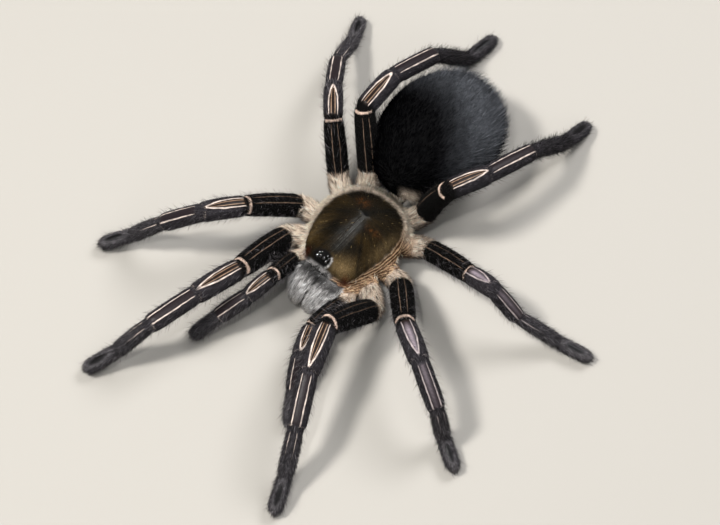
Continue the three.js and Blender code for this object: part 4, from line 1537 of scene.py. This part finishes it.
def fringe_carapace(ground):
    """Pale hair that stands out round the rim of the carapace, thickest behind."""
    places = ground.middles
    near_rim = peak(places[:, 2] - RIM_HEIGHT - 0.1 * MM, 0.55 * MM)
    wide = border_width(places) * (1 - 0.9 * left_ridges(places)[0])
    wide = wide * smooth_step(places[:, 1] - CARAPACE.low[1], 0.8 * MM, 2 * MM)
    add_long_hair("fringe_carapace", ground, ground.on("carapace"), 4500, near_rim * wide ** 2,
                  PALE_HAIR, "pale_coat", length=1.6 * MM, width=0.085 * MM, lean=58,
                  contrast=0.35, spread=0.35, tint=HIP_CREAM, droop=0.15, root_shade=0.8)


def bristle_limbs(ground):
    """Fine erect hairs on the sides and undersides of the limbs, thickest on the hind feet."""
    for owner, limb in enumerate(LIMBS):
        at = limb_place(limb, ground.middles)
        upward = dots(unit(ground.middles - limb.starts[at.segment]), at.above)
        low = 1 - 0.8 * smooth_step(upward, 0.1, 0.5)
        weights = (0.25 + low) * np.where(ground.look.bare > 0.5, 0.02, 1)
        if limb.is_hind_leg:
            bushy = smooth_step(at.along, 2.7, 3.1) * (1 - smooth_step(at.along, 4.0, 4.4))
            weights = weights * (1 + 5 * bushy)
        add_long_hair(f"bristles_{limb.name}", ground, ground.on_limb(owner),
                      1500 if limb.is_hind_leg else 1000, weights, BLACK_HAIR, "black_coat",
                      length=1.9 * MM, width=0.055 * MM, lean=44, contrast=0.5, spread=0.5,
                      tint=HIND_BRISTLE if limb.is_hind_leg else BRISTLE_GREY)


def bristle_abdomen(ground):
    """Longer dark hair that stands out of the velvet round the edge of the abdomen."""
    place = (ground.middles - ABDOMEN.centre) / ABDOMEN.half
    rearward = smooth_step(place[:, 0] + place[:, 1], -0.6, 0.6)
    edge = smooth_step(np.hypot(place[:, 0], place[:, 1]), 0.72, 0.95)
    weights = 0.1 + edge * (0.2 + 0.8 * rearward)
    add_long_hair("bristles_abdomen", ground, ground.on("abdomen"), 4700, weights,
                  JET_HAIR, "black_coat", length=2.6 * MM, width=0.07 * MM, lean=42,
                  contrast=0.5, spread=0.25)


add_camera()
skin, kinds, owners = one_skin()
paint_skin(skin, kinds, owners)
FLESH = [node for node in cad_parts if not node.startswith("fang") and node != "eye_tubercle"]
add_piece(skin, skin_material(), "black_coat", *FLESH)
EYE_BLACK = plain_material("eye_black", linear(4, 3, 3), roughness=0.07, coat=1.0, ior=1.9)
FANG_HORN = plain_material("fang_horn", linear(22, 12, 11), roughness=0.18, coat=0.6)
CLAW_HORN = plain_material("claw_horn", linear(18, 14, 13), roughness=0.3)
add_piece(eyes_piece(), EYE_BLACK, "eyes", "eye_tubercle")
add_piece(fangs_piece(), FANG_HORN, "horn", "fang_left", "fang_right")
add_piece(claws_piece(), CLAW_HORN, "horn")

JET_HAIR = hair_material("jet_velvet", roughness=0.6, gloss=0.0)
BLACK_HAIR = hair_material("black_velvet", roughness=0.5, gloss=0.08)
OLIVE_HAIR = hair_material("olive_velvet", roughness=0.5, gloss=0.1)
SILVER_HAIR = hair_material("silver_hair", roughness=0.35, gloss=0.8)
PALE_HAIR = hair_material("pale_hair", roughness=0.6, gloss=0.3)
SHARE = 1.0  # how much of the coat is grown
ground = Ground(skin, kinds, owners)
cover_with_velvet(ground)
comb_chelicerae(ground)
fringe_carapace(ground)
bristle_limbs(ground)
bristle_abdomen(ground)

add_floor()
for light in LIGHTS:
    add_light(*light)
add_room_light()
